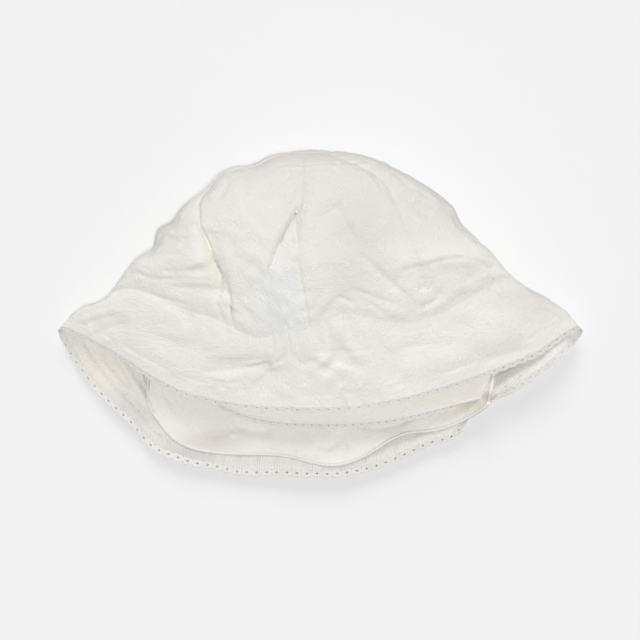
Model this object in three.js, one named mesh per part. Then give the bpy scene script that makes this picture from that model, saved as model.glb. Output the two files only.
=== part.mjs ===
// Soft cotton sun hat, lying on its back with the crown away from you and the
// head opening towards you. Millimetres, +Z up, resting on Z = 0.
import * as THREE from 'three';

// Cloth and trim
const crownThickness = 1.2;
const brimThickness = 1.5;
const underBrimThickness = 1.3;
const rolledHemThickness = 2.4;
const seamGap = 0.35;
const laceGap = 0.85;
const laceWidth = 3.2;
const laceThickness = 1.0;
const laceHoles = 120;
const brimWidth = 48;
const panelCount = 8;

// Moves the hat so that its box stands centred over the origin.
const centring = new THREE.Vector3(0.4, 0.1, 0);

// How softly the cloth turns at the creased ends of a ring, and how fast the
// folds of the upper side begin there.
const tipSharpness = 0.15;
const upperSteepness = 2.5;
const foldSteps = 8;

// How far a panel puffs up between its seams, over which share of the crown
// the puff grows and fades, how the seams are drawn down, and how far the head
// seam climbs for each millimetre it rides up.
const panelPuff = 1.8;
const puffStart = 0.25;
const puffEnd = 0.35;
const seamPinch = 0.6;
const seamPinchSpread = 0.06;
const seamWaveReach = 0.25;
const seamSlope = 0.32;

// Where the crown, the seam and the hem lie along the cloth: 0 at the top of
// the crown, 1 at the head seam, 2 at the tips of the lace.
const topOfCrown = 0.008;
const headSeam = 1;
const laceTips = 2;
const laceRoot = laceTips - laceWidth / brimWidth;
const clothEnd = laceRoot - laceGap / brimWidth;
const hemGap = seamGap / brimWidth;
const rolledHemStart = 0.93;

// Near the top of the crown the wall and the gaps take at most this share of
// a panel's width.
const narrowShare = 0.3;
const rowCrowding = 1.15;
const smallStep = 0.004;
const sliver = 0.02;

// Rings of the hat from the top of the crown to the lace. Left, right and side
// give the two creased ends of a ring; front is the upper half, back the half
// on the surface. A back below zero is pressed flat by the surface. The seam
// columns are the angles of the three crown seams in the upper half, and
// tipOpen keeps the two plies apart where a ring is creased.
const hatRings = [
  { along: 0.00, leftX: -6.5, leftY: 88.6, rightX: -6.5, rightY: 88.6, sideZ: 27, frontY: 88.6,
    frontZ: 27, backY: 88.6, backZ: 27, seamA: 56, seamB: 98, seamC: 140, lean: 0, tipOpen: 0 },
  { along: 0.12, leftX: -28.5, leftY: 85.2, rightX: 18.8, rightY: 86.3, sideZ: 28, frontY: 83.3,
    frontZ: 42, backY: 85.9, backZ: 12, seamA: 58, seamB: 100, seamC: 147, lean: 0, tipOpen: 0 },
  { along: 0.30, leftX: -55.4, leftY: 71.7, rightX: 45.2, rightY: 75.5, sideZ: 29, frontY: 72.6,
    frontZ: 52, backY: 74.5, backZ: -1, seamA: 48, seamB: 95, seamC: 165, lean: 0, tipOpen: 0 },
  { along: 0.50, leftX: -87.2, leftY: 45.9, rightX: 70.5, rightY: 57.7, sideZ: 29, frontY: 50.7,
    frontZ: 56, backY: 43.7, backZ: -6, seamA: 51, seamB: 94, seamC: 136, lean: 0, tipOpen: 0 },
  { along: 0.60, leftX: -93.0, leftY: 36.8, rightX: 80.1, rightY: 45.9, sideZ: 29, frontY: 39.1,
    frontZ: 56, backY: 28.3, backZ: -7, seamA: 53, seamB: 94, seamC: 129, lean: 0, tipOpen: 0 },
  { along: 0.70, leftX: -101.2, leftY: 27.6, rightX: 90.4, rightY: 34.6, sideZ: 28, frontY: 26.5,
    frontZ: 55, backY: 12.9, backZ: -8, seamA: 55, seamB: 94, seamC: 122, lean: 1, tipOpen: 0 },
  { along: 0.88, leftX: -109.5, leftY: 16.4, rightX: 100.3, rightY: 22.3, sideZ: 25, frontY: 3.3,
    frontZ: 48, backY: -17.3, backZ: -7, seamA: 55, seamB: 92, seamC: 115, lean: 2, tipOpen: 0 },
  { along: 1.00, leftX: -114.6, leftY: 9.9, rightX: 105.9, rightY: 17.5, sideZ: 22, frontY: -10.5,
    frontZ: 43, backY: -36.6, backZ: -5, seamA: 57, seamB: 91, seamC: 113, lean: 4, tipOpen: 0.7 },
  { along: 1.50, leftX: -131.6, leftY: 1.0, rightX: 128.9, rightY: 5.7, sideZ: 15, frontY: -32.8,
    frontZ: 34.5, backY: -63.0, backZ: -4, seamA: 57, seamB: 90, seamC: 118, lean: 16, tipOpen: 2.5 },
  { along: 2.00, leftX: -143.7, leftY: -10.1, rightX: 143.1, rightY: -10.1, sideZ: 8, frontY: -53.0,
    frontZ: 27, backY: -89.7, backZ: 8, seamA: 58, seamB: 88, seamC: 121, lean: 36, tipOpen: 3.5 },
];

// Rings of the straighter layer inside the brim, from the head seam (0) to its
// rolled edge (1). Squareness above 2 makes the ring's ends blunter.
const underRings = [
  { along: 0.0, leftX: -111.0, leftY: 8.3, rightX: 102.3, rightY: 15.4, sideZ: 21, frontY: -13.2,
    frontZ: 35.5, backY: -33.9, backZ: 3, lean: 3, frontLean: 0, squareness: 2.0 },
  { along: 0.5, leftX: -102.4, leftY: -14.4, rightX: 97.5, rightY: -15.5, sideZ: 13, frontY: -39.6,
    frontZ: 26.5, backY: -56.3, backZ: 3, lean: 6, frontLean: 6, squareness: 2.2 },
  { along: 1.0, leftX: -95.0, leftY: -42.6, rightX: 91.2, rightY: -47.0, sideZ: 10, frontY: -59.4,
    frontZ: 19, backY: -76.4, backZ: 4.6, lean: 16, frontLean: 12, squareness: 2.8 },
];

// Folds of the upper side: each runs from, by mid, to its end, with a soft
// width and a rise above the cloth (below it when negative).
const folds = [
  { fold: 'centre crease', fromX: -9.5, fromY: 68.5, midX: -11, midY: 51.5,
    toX: -27, toY: 21, width: 4.5, rise: -4 },
  { fold: 'centre crease lip', fromX: -5, fromY: 57.5, midX: -8, midY: 45,
    toX: -15.5, toY: 27, width: 5, rise: 1.0 },
  { fold: 'left seam loop', fromX: -62, fromY: 45, midX: -56.5, midY: 29.5,
    toX: -53, toY: 7, width: 4.5, rise: -1.6 },
  { fold: 'left bulge', fromX: -71.5, fromY: 48.5, midX: -67.5, midY: 35.5,
    toX: -64, toY: 24, width: 9, rise: 1.4 },
  { fold: 'right seam ridge', fromX: 37.5, fromY: 60, midX: 47, midY: 45,
    toX: 53.5, toY: 31.5, width: 5, rise: 1.2 },
  { fold: 'overhang ridge', fromX: 43, fromY: 27, midX: 66, midY: 33.5,
    toX: 92.5, toY: 27, width: 5, rise: 1 },
  { fold: 'overhang hollow', fromX: 46, fromY: 19.5, midX: 68.5, midY: 24,
    toX: 88.5, toY: 21, width: 4.5, rise: -0.8 },
  { fold: 'short valley', fromX: 54.5, fromY: 19.5, midX: 55, midY: 15.5,
    toX: 56, toY: 11.5, width: 4.5, rise: -0.8 },
  { fold: 'slanting valley', fromX: 64.5, fromY: 12.5, midX: 60, midY: 5,
    toX: 52.5, toY: 1, width: 4.5, rise: -0.8 },
  { fold: 'long diagonal', fromX: 4.5, fromY: 61, midX: 13, midY: 36.5,
    toX: 47, toY: 8, width: 9, rise: -2.0 },
  { fold: 'small wrinkle', fromX: 8, fromY: 8.5, midX: 16.5, midY: 8.5,
    toX: 37.5, toY: 5.5, width: 4.5, rise: -0.8 },
  { fold: 'upper left wrinkle', fromX: -85, fromY: 22.5, midX: -72.5, midY: 21,
    toX: -60, toY: 22.5, width: 4.5, rise: -0.6 },
  { fold: 'lower left wrinkle', fromX: -81, fromY: 14.5, midX: -68.5, midY: 12,
    toX: -56.5, toY: 13, width: 4.5, rise: -0.6 },
  { fold: 'panel corner crease', fromX: -40, fromY: 27, midX: -30, midY: 21,
    toX: -32, toY: 7, width: 4.5, rise: -0.6 },
  { fold: 'upper right dent', fromX: 34, fromY: 68.5, midX: 48, midY: 62,
    toX: 61, toY: 58, width: 6, rise: -1.0 },
  { fold: 'left brim wrinkle', fromX: -65.5, fromY: -31, midX: -38, midY: -24,
    toX: -27, toY: -29, width: 4.5, rise: -0.8 },
  { fold: 'left brim return', fromX: -26, fromY: -29, midX: -26, midY: -37.5,
    toX: -39, toY: -39.5, width: 4.5, rise: -0.6 },
  { fold: 'right brim valley', fromX: 82.5, fromY: -26, midX: 97.5, midY: -20.5,
    toX: 112.5, toY: -18, width: 6, rise: -1.0 },
  { fold: 'left brim valley', fromX: -126.5, fromY: -7, midX: -116, midY: -4.5,
    toX: -103, toY: -9, width: 6, rise: -1.0 },
  { fold: 'left brim crest', fromX: -107, fromY: -14.5, midX: -78, midY: -28,
    toX: -46, toY: -35.5, width: 8, rise: 0.8 },
  { fold: 'right brim crest', fromX: 37, fromY: -30.5, midX: 69, midY: -28,
    toX: 98, toY: -15.5, width: 9, rise: 0.8 },
];

// Where the crown sags over the head seam or the seam rides up: at a place
// round the hat in panels, over a spread of panels, the upper side moves by
// moveY at the seam and less away from it.
const seamWaves = [
  { wave: 'left end rides up', round: 3.5, spread: 0.25, moveY: 5.5 },
  { wave: 'left seam rides up', round: 3.12, spread: 0.14, moveY: 2.5 },
  { wave: 'sag below the crease', round: 2.8, spread: 0.22, moveY: -4 },
  { wave: 'middle rides up', round: 1.66, spread: 0.3, moveY: 8.5 },
  { wave: 'right seam sag', round: 1, spread: 0.25, moveY: -4.5 },
];

// Bumps and dents of the outline as the hat lies: round a point, over a size,
// the cloth moves sideways by these amounts.
const edgeMoves = [
  { bump: 'left dent', atX: -93, atY: 36.5, size: 7, moveX: 1.9, moveY: -1.8 },
  { bump: 'upper left dent', atX: -80.5, atY: 50.5, size: 6, moveX: 1.2, moveY: -1.4 },
  { bump: 'upper left bulge', atX: -52, atY: 74, size: 9, moveX: -1.2, moveY: 2 },
  { bump: 'top left dent', atX: -36, atY: 83, size: 7, moveX: 0.4, moveY: -1.6 },
  { bump: 'upper right dent', atX: 77.5, atY: 49.5, size: 8, moveX: -1.3, moveY: -1.4 },
  { bump: 'right dent', atX: 87, atY: 40, size: 6, moveX: -0.6, moveY: -0.8 },
  { bump: 'right brim droop', atX: 126, atY: 8, size: 14, moveX: 0, moveY: -2.2 },
  { bump: 'lower left bulge', atX: -92, atY: -70, size: 12, moveX: -1.5, moveY: -3.2 },
  { bump: 'left hem bulge', atX: -70, atY: -80, size: 13, moveX: 0, moveY: -2.2 },
  { bump: 'left of middle hem', atX: -45, atY: -84, size: 14, moveX: 0, moveY: -2.4 },
  { bump: 'middle hem', atX: 5, atY: -88, size: 30, moveX: 0, moveY: -1 },
  { bump: 'right hem bulge', atX: 72, atY: -64, size: 11, moveX: 2, moveY: -4.2 },
  { bump: 'right brim bulge', atX: 122, atY: -26, size: 12, moveX: 1, moveY: -1 },
];

// Waves of the two free hems: at a ring angle, over a spread of degrees, the
// hem moves by these amounts at its edge and less towards the head seam.
const brimWaves = [
  { wave: 'left hem corner', angle: 237, spread: 8, moveX: -2, moveY: -2, moveZ: 2.5 },
  { wave: 'left hem lift', angle: 215, spread: 12, moveX: 0, moveY: 0, moveZ: 3.5 },
  { wave: 'middle hem lift', angle: 268, spread: 9, moveX: 0, moveY: 1, moveZ: 2.5 },
  { wave: 'right hem pleat', angle: 308, spread: 8, moveX: -2, moveY: 2, moveZ: 4 },
  { wave: 'right hem lump', angle: 318, spread: 6, moveX: 2, moveY: -1, moveZ: 4 },
  { wave: 'front hem dip', angle: 112, spread: 10, moveX: 0, moveY: 0, moveZ: -2 },
  { wave: 'front hem crest', angle: 80, spread: 14, moveX: 0, moveY: 0, moveZ: 2 },
  { wave: 'right front dip', angle: 48, spread: 9, moveX: 0, moveY: 0, moveZ: -1.5 },
  { wave: 'right end press', angle: 38, spread: 15, moveX: 0, moveY: -3.2, moveZ: -1 },
  { wave: 'left end press', angle: 149, spread: 12, moveX: 0, moveY: 0, moveZ: -2 },
  { wave: 'left front droop', angle: 125, spread: 11, moveX: 0, moveY: -4, moveZ: 0 },
  { wave: 'front droop', angle: 112, spread: 14, moveX: 0, moveY: -3.4, moveZ: 0 },
  { wave: 'right back lift', angle: 331, spread: 17, moveX: 0, moveY: 0, moveZ: 15 },
];
const underWaves = [
  { wave: 'back bulge', angle: 275, spread: 14, moveX: 0, moveY: -6, moveZ: 4 },
  { wave: 'left corner lift', angle: 228, spread: 14, moveX: -2, moveY: -1, moveZ: 1.6 },
  { wave: 'right tuck', angle: 298, spread: 10, moveX: 0, moveY: 5, moveZ: 2.4 },
  { wave: 'right end lift', angle: 345, spread: 26, moveX: 0, moveY: 0, moveZ: 11 },
  { wave: 'left front tuck', angle: 141, spread: 22, moveX: 0, moveY: 22, moveZ: 4.5 },
  { wave: 'left end settles', angle: 187, spread: 22, moveX: 0, moveY: 0, moveZ: -3.5 },
];

const clothColour = new THREE.Color(0xebe8e1);
const hemColour = new THREE.Color(0xe6e2d8);
const laceColour = new THREE.Color(0xefece5);

// Every column of a ring table at one place along the cloth, by a smooth curve
// through the rows.
function ringAt(table, along) {
  let row = 0;
  while (row < table.length - 2 && along >= table[row + 1].along) {
    row += 1;
  }
  const step = table[row + 1].along - table[row].along;
  const t = (along - table[row].along) / step;
  const ring = {};
  for (const column of Object.keys(table[row])) {
    const start = table[row][column];
    const end = table[row + 1][column];
    const slopeIn = columnSlope(table, row, column) * step;
    const slopeOut = columnSlope(table, row + 1, column) * step;
    ring[column] = (2 * t ** 3 - 3 * t ** 2 + 1) * start + (t ** 3 - 2 * t ** 2 + t) * slopeIn
      + (3 * t ** 2 - 2 * t ** 3) * end + (t ** 3 - t ** 2) * slopeOut;
  }
  return ring;
}

function columnSlope(table, row, column) {
  const rise = (a, b) => (table[b][column] - table[a][column]) / (table[b].along - table[a].along);
  if (row === 0) {
    return rise(0, 1);
  }
  if (row === table.length - 1) {
    return rise(row - 1, row);
  }
  const before = table[row].along - table[row - 1].along;
  const after = table[row + 1].along - table[row].along;
  return (rise(row - 1, row) * after + rise(row, row + 1) * before) / (before + after);
}

// A point of a ring: 0 degrees at its right end, 90 over the upper half, 180
// at its left end and 270 on the surface.
function ringPoint(ring, degrees) {
  const angle = THREE.MathUtils.degToRad(degrees);
  const power = ring.squareness ?? 2;
  const reach = (Math.abs(Math.cos(angle)) ** power + Math.abs(Math.sin(angle)) ** power) ** (1 / power);
  const across = Math.cos(angle) / reach;
  const up = Math.sin(angle) / reach;
  const bend = up * up;
  const sideY = (ring.leftY + ring.rightY) / 2 + (ring.rightY - ring.leftY) / 2 * across;
  const middleY = (ring.frontY + ring.backY - ring.leftY - ring.rightY) / 2;
  const leaning = (up < 0 ? ring.lean : ring.frontLean ?? 0) * across * Math.abs(across) * bend;
  return new THREE.Vector3(
    (ring.leftX + ring.rightX) / 2 + (ring.rightX - ring.leftX) / 2 * across,
    sideY + (ring.frontY - ring.backY) / 2 * up + middleY * bend + leaning,
    ring.sideZ + (ring.frontZ - ring.backZ) / 2 * up
      + ((ring.frontZ + ring.backZ) / 2 - ring.sideZ) * bend
      + (ring.tipOpen ?? 0) * Math.tanh(up / tipSharpness) * (1 - bend),
  );
}

// Angle on a ring for a place round the hat counted in panels, 0 to 8, by a
// smooth curve through the seams.
function angleAt(ring, round) {
  const seams = [0, ring.seamA, ring.seamB, ring.seamC, 180, 238, 270, 302];
  const seam = (index) => {
    const turns = Math.floor(index / panelCount);
    return seams[index - turns * panelCount] + 360 * turns;
  };
  const first = Math.floor(round);
  const t = round - first;
  const [a, b, c, d] = [seam(first - 1), seam(first), seam(first + 1), seam(first + 2)];
  return 0.5 * (2 * b + (c - a) * t + (2 * a - 5 * b + 4 * c - d) * t ** 2
    + (3 * b - a - 3 * c + d) * t ** 3);
}

// Sum of the folds at a point of the upper side.
function foldRise(x, y) {
  let rise = 0;
  for (const row of folds) {
    let nearest = Infinity;
    for (let step = 0; step <= foldSteps; step += 1) {
      const t = step / foldSteps;
      const pathX = (1 - t) ** 2 * row.fromX + 2 * t * (1 - t) * row.midX + t ** 2 * row.toX;
      const pathY = (1 - t) ** 2 * row.fromY + 2 * t * (1 - t) * row.midY + t ** 2 * row.toY;
      nearest = Math.min(nearest, Math.hypot(x - pathX, y - pathY));
    }
    rise += row.rise * Math.exp(-((nearest / row.width) ** 2));
  }
  return rise;
}

function waveMove(waves, degrees, share) {
  const move = new THREE.Vector3();
  for (const row of waves) {
    const apart = ((degrees - row.angle + 540) % 360 - 180) / row.spread;
    const amount = Math.exp(-apart * apart) * share * share;
    move.add(new THREE.Vector3(row.moveX, row.moveY, row.moveZ).multiplyScalar(amount));
  }
  return move;
}

// Sideways moves of a point of the hat by the bumps of its outline.
function edgeMove(x, y) {
  const move = new THREE.Vector3();
  for (const row of edgeMoves) {
    const amount = Math.exp(-((x - row.atX) ** 2 + (y - row.atY) ** 2) / row.size ** 2);
    move.add(new THREE.Vector3(row.moveX, row.moveY, 0).multiplyScalar(amount));
  }
  return move;
}

// How far the head seam and the cloth beside it move over the upper side.
function seamMove(round, along) {
  const nearSeam = Math.exp(-(((along - headSeam) / seamWaveReach) ** 2));
  let move = 0;
  for (const row of seamWaves) {
    move += row.moveY * nearSeam * Math.exp(-(((round - row.round) / row.spread) ** 2));
  }
  return move;
}

// The outer face of the hat, round in panels and along the cloth.
function hatPoint(round, along) {
  const ring = ringAt(hatRings, along);
  const degrees = angleAt(ring, round);
  const point = ringPoint(ring, degrees);
  const upper = THREE.MathUtils.clamp(Math.sin(THREE.MathUtils.degToRad(degrees)) * upperSteepness, 0, 1);
  const ride = upper * seamMove(THREE.MathUtils.euclideanModulo(round, panelCount), along);
  point.y += ride;
  point.z += ride * seamSlope;
  const inPanel = round - Math.floor(round);
  if (along <= headSeam) {
    const full = THREE.MathUtils.smoothstep(along, 0, puffStart)
      * THREE.MathUtils.smoothstep(headSeam - along, 0, puffEnd);
    point.z += upper * full * (panelPuff * Math.sin(Math.PI * inPanel) - seamPinch * 0.5);
  }
  point.z -= upper * seamPinch * Math.exp(-(((along - headSeam) / seamPinchSpread) ** 2));
  point.z += upper * foldRise(point.x, point.y);
  point.add(waveMove(brimWaves, degrees, THREE.MathUtils.clamp(along - headSeam, 0, 1)));
  point.add(edgeMove(point.x, point.y));
  point.z = Math.max(point.z, 0);
  return point;
}

function underPoint(round, along) {
  const degrees = round * 360 / panelCount;
  const point = ringPoint(ringAt(underRings, along), degrees);
  point.add(waveMove(underWaves, degrees, along));
  return point;
}

// Outward direction of a face given as a function of round and along.
function outward(pointAt, round, along) {
  const roundwise = pointAt(round + smallStep, along).sub(pointAt(round - smallStep, along));
  const lengthwise = pointAt(round, along + smallStep).sub(pointAt(round, along - smallStep));
  return roundwise.cross(lengthwise).normalize();
}

// A closed cloth shell: a grid of outer points, the same grid set inwards by
// the thickness, and walls along its free edges.
function clothShell({ outerAt, insetAt, columns, rows, closed }) {
  const across = closed ? columns : columns + 1;
  const positions = [];
  for (const pointAt of [outerAt, insetAt]) {
    for (let row = 0; row <= rows; row += 1) {
      for (let column = 0; column < across; column += 1) {
        positions.push(...pointAt(column / columns, row / rows).toArray());
      }
    }
  }
  const layer = across * (rows + 1);
  const outer = (column, row) => row * across + (column % across);
  const inner = (column, row) => layer + outer(column, row);
  const faces = [];
  const quad = (a, b, c, d) => faces.push(a, c, b, a, d, c);
  for (let row = 0; row < rows; row += 1) {
    for (let column = 0; column < columns; column += 1) {
      quad(outer(column, row), outer(column, row + 1), outer(column + 1, row + 1), outer(column + 1, row));
      quad(inner(column, row), inner(column + 1, row), inner(column + 1, row + 1), inner(column, row + 1));
    }
  }
  for (let column = 0; column < columns; column += 1) {
    quad(outer(column, 0), outer(column + 1, 0), inner(column + 1, 0), inner(column, 0));
    quad(outer(column, rows), inner(column, rows), inner(column + 1, rows), outer(column + 1, rows));
  }
  if (!closed) {
    for (let row = 0; row < rows; row += 1) {
      quad(outer(0, row), inner(0, row), inner(0, row + 1), outer(0, row + 1));
      quad(outer(columns, row), outer(columns, row + 1), inner(columns, row + 1), inner(columns, row));
    }
  }
  return solid(positions, faces);
}

function solid(positions, faces) {
  const geometry = new THREE.BufferGeometry();
  geometry.setAttribute('position', new THREE.Float32BufferAttribute(positions, 3));
  geometry.setIndex(faces);
  geometry.computeVertexNormals();
  return geometry;
}

// One crown panel between two seams. The upper panels carry the folds and get
// the finer grid.
function crownPanel(index) {
  const isUpper = index < panelCount / 2;
  const columns = isUpper ? 10 : 6;
  const rows = isUpper ? 18 : 11;
  const alongAt = (t) => THREE.MathUtils.lerp(topOfCrown, headSeam - hemGap / 2, t ** rowCrowding);
  const widthNear = (seam, along) => {
    const inside = seam === index ? seam + sliver : seam - sliver;
    return hatPoint(seam, along).distanceTo(hatPoint(inside, along)) / sliver;
  };
  const roundAt = (s, along) => {
    const trimStart = Math.min(seamGap / 2 / widthNear(index, along), narrowShare);
    const trimEnd = Math.min(seamGap / 2 / widthNear(index + 1, along), narrowShare);
    return THREE.MathUtils.lerp(index + trimStart, index + 1 - trimEnd, s);
  };
  const outerAt = (s, t) => hatPoint(roundAt(s, alongAt(t)), alongAt(t));
  const insetAt = (s, t) => {
    const along = alongAt(t);
    const round = roundAt(s, along);
    const wall = Math.min(crownThickness, widthNear(index, along) * narrowShare);
    return hatPoint(round, along).addScaledVector(outward(hatPoint, round, along), -wall);
  };
  return clothShell({ outerAt, insetAt, columns, rows, closed: false });
}

function brim() {
  const alongAt = (t) => THREE.MathUtils.lerp(headSeam + hemGap / 2, clothEnd, t);
  const outerAt = (s, t) => hatPoint(s * panelCount, alongAt(t));
  const insetAt = (s, t) => {
    const place = [s * panelCount, alongAt(t)];
    return hatPoint(...place).addScaledVector(outward(hatPoint, ...place), -brimThickness);
  };
  return clothShell({ outerAt, insetAt, columns: 80, rows: 6, closed: true });
}

// The under layer ends in a rolled hem, thicker than the cloth above it.
function underBrim() {
  const outerAt = (s, t) => underPoint(s * panelCount, t);
  const insetAt = (s, t) => {
    const wall = t > rolledHemStart ? rolledHemThickness : underBrimThickness;
    const direction = outward(underPoint, s * panelCount, t);
    return underPoint(s * panelCount, t).addScaledVector(direction, -wall);
  };
  return clothShell({ outerAt, insetAt, columns: 52, rows: 5, closed: true });
}

const hemSamples = 960;

// Places round the hem, equally far apart along the lace.
function evenPlaces(count) {
  const lengths = [0];
  const middle = (laceRoot + laceTips) / 2;
  for (let i = 1; i <= hemSamples; i += 1) {
    const here = hatPoint(i * panelCount / hemSamples, middle);
    const before = hatPoint((i - 1) * panelCount / hemSamples, middle);
    lengths.push(lengths[i - 1] + here.distanceTo(before));
  }
  const places = [];
  let i = 0;
  for (let place = 0; place < count; place += 1) {
    const wanted = lengths[hemSamples] * place / count;
    while (lengths[i + 1] < wanted) {
      i += 1;
    }
    places.push((i + (wanted - lengths[i]) / (lengths[i + 1] - lengths[i])) * panelCount / hemSamples);
  }
  return places;
}

// The lace: one repeat for each hole, with a scalloped outer edge.
function laceEdging() {
  const half = evenPlaces(laceHoles * 2);
  const width = laceTips - laceRoot;
  const holeHalfWidth = 0.42;
  const repeat = [
    { round: 0, out: 0 }, { round: 0, out: 0.8 }, { round: 1, out: 1 },
    { round: 1 - holeHalfWidth, out: 0.25 }, { round: 1 - holeHalfWidth, out: 0.6 },
    { round: 1 + holeHalfWidth, out: 0.6 }, { round: 1 + holeHalfWidth, out: 0.25 },
  ];
  const roundAt = (index, part) => {
    const here = half[index];
    const next = index + 1 < half.length ? half[index + 1] : panelCount;
    return here + (next - here) * part;
  };
  const positions = [];
  for (let hole = 0; hole < laceHoles; hole += 1) {
    for (const corner of repeat) {
      const step = Math.min(Math.floor(corner.round), 1);
      const place = [roundAt(hole * 2 + step, corner.round - step), laceRoot + width * corner.out];
      const direction = outward(hatPoint, ...place);
      const middle = hatPoint(...place).addScaledVector(direction, -brimThickness / 2);
      positions.push(...middle.clone().addScaledVector(direction, laceThickness / 2).toArray());
      positions.push(...middle.addScaledVector(direction, -laceThickness / 2).toArray());
    }
  }
  const faces = [];
  const perRepeat = repeat.length * 2;
  const total = perRepeat * laceHoles;
  for (let hole = 0; hole < laceHoles; hole += 1) {
    const at = (corner) => (hole * perRepeat + corner * 2) % total;
    const root0 = at(0);
    const tip0 = at(1);
    const crest = at(2);
    const [lowLeft, highLeft, highRight, lowRight] = [at(3), at(4), at(5), at(6)];
    const root1 = (root0 + perRepeat) % total;
    const tip1 = (tip0 + perRepeat) % total;
    const top = [
      [root0, tip0, highLeft], [root0, highLeft, lowLeft], [tip0, crest, highLeft],
      [crest, highRight, highLeft], [crest, tip1, highRight], [tip1, root1, highRight],
      [root1, lowRight, highRight], [root1, root0, lowLeft], [root1, lowLeft, lowRight],
    ];
    const edges = [
      [root1, root0], [tip0, crest], [crest, tip1],
      [highRight, highLeft], [lowRight, highRight], [lowLeft, lowRight], [highLeft, lowLeft],
    ];
    for (const [a, b, c] of top) {
      faces.push(a, c, b, a + 1, b + 1, c + 1);
    }
    for (const [a, b] of edges) {
      faces.push(a, b, a + 1, b, b + 1, a + 1);
    }
  }
  return solid(positions, faces);
}

function cloth(colour) {
  return new THREE.MeshStandardMaterial({
    color: colour,
    roughness: 0.95,
    metalness: 0,
    side: THREE.DoubleSide,
  });
}

const group = new THREE.Group();
group.position.copy(centring);
function add(name, geometry, colour) {
  const mesh = new THREE.Mesh(geometry, cloth(colour));
  mesh.name = name;
  group.add(mesh);
}

for (let index = 0; index < panelCount; index += 1) {
  add(`crown_panel_${index + 1}`, crownPanel(index), clothColour);
}
add('brim', brim(), clothColour);
add('under_brim', underBrim(), hemColour);
add('lace_edging', laceEdging(), laceColour);

export default group;
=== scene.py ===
import math

import bpy
import numpy as np
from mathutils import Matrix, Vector


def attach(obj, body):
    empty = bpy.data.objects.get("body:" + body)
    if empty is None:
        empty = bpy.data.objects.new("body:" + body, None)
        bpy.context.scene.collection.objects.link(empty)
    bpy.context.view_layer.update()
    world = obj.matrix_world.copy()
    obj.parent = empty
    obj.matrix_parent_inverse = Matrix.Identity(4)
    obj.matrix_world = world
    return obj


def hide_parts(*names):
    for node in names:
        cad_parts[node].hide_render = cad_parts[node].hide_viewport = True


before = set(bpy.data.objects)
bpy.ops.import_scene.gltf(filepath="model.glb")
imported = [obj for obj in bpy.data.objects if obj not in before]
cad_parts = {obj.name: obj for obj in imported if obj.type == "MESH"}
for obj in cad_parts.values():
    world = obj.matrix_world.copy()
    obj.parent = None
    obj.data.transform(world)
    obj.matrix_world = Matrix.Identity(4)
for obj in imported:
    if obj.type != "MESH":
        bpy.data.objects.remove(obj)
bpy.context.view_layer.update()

mm = 0.001  # the tables below are in millimetres

# the hat as it lies: its cloth is a grid that runs from the top of the crown to the lace,
# where along is 0 at the top, 1 at the head seam and 2 at the lace's tips
hat = {
    "panels": 8,
    "centringX": 0.4, "centringY": 0.1,  # moves the hat so that its box is centred
    "brimWidth": 48.0,
    "hemWidth": 11.0,
    "laceWidth": 3.2,
    "panelPuff": 1.8,  # how far a panel stands up between its seams
    "seamPinch": 0.6,  # how far a seam draws the cloth down
    "seamSlope": 0.32,  # how far the cloth climbs for each mm that it rides over the head seam
    "creaseDepth": 0.32,  # share of the sharper creases' height
    "upperSlope": 2.5,  # how fast the upper half's folds and puffs fade in from its edges
    "sagReach": 0.25,  # how far the sags over the head seam reach along the cloth
    "puffFrom": 0.25, "puffTo": 0.35,  # where a panel is full, from the top and from the seam
    "pinchReach": 0.06,
    "tipSharpness": 0.15,  # how sharply the upper and lower half part at the hat's two ends
    "crownColumns": 64,  # grid columns in one panel
    "crownRows": 150, "crownRowPower": 1.1,  # rows a little closer at the top
    "brimRows": 46,
    "laceRows": 4,
    "topOfCrown": 0.0015,  # where the panels start, so that they don't meet in one point
    "crownCloth": 0.9,  # thickness of the cloths
    "topCloth": 0.15, "topTaper": 0.4,  # the crown's is thinner at the top, where the panels meet
    "brimCloth": 1.1,
    "underCloth": 0.9,
    "panelApart": 300,  # mm between the panels' weaves
    "sharpAngle": 60,  # degrees
}
headSeam = 1.0
laceTips = 2.0
laceRoot = laceTips - hat["laceWidth"] / hat["brimWidth"]

ringColumns = ("along", "leftX", "leftY", "rightX", "rightY", "sideZ", "frontY", "frontZ",
               "backY", "backZ", "seamA", "seamB", "seamC", "lean", "tipOpen")
hatRings = [  # rings from the top of the crown to the lace
    (0.00, -6.5, 88.6, -6.5, 88.6, 27, 88.6, 27, 88.6, 27, 56, 98, 140, 0, 0),
    (0.12, -28.5, 85.2, 18.8, 86.3, 28, 83.3, 42, 85.9, 12, 58, 100, 147, 0, 0),
    (0.30, -55.4, 71.7, 45.2, 75.5, 29, 72.6, 52, 74.5, -1, 48, 95, 165, 0, 0),
    (0.50, -87.2, 45.9, 70.5, 57.7, 29, 50.7, 56, 43.7, -6, 51, 94, 136, 0, 0),
    (0.60, -93.0, 36.8, 80.1, 45.9, 29, 39.1, 56, 28.3, -7, 53, 94, 129, 0, 0),
    (0.70, -101.2, 27.6, 90.4, 34.6, 28, 26.5, 55, 12.9, -8, 55, 94, 122, 1, 0),
    (0.88, -109.5, 16.4, 100.3, 22.3, 25, 3.3, 48, -17.3, -7, 55, 92, 115, 2, 0),
    (1.00, -114.6, 9.9, 105.9, 17.5, 22, -10.5, 43, -36.6, -5, 57, 91, 113, 4, 0.7),
    (1.50, -131.6, 1.0, 128.9, 5.7, 15, -32.8, 34.5, -63.0, -4, 57, 90, 118, 16, 2.5),
    (2.00, -143.7, -10.1, 143.1, -10.1, 8, -53.0, 27, -89.7, 8, 58, 88, 121, 36, 3.5),
]
lowerSeams = (180, 238, 270, 302)  # angles of the other four seams, on the surface
underColumns = ("along", "leftX", "leftY", "rightX", "rightY", "sideZ", "frontY", "frontZ",
                "backY", "backZ", "lean", "frontLean", "squareness")
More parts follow.
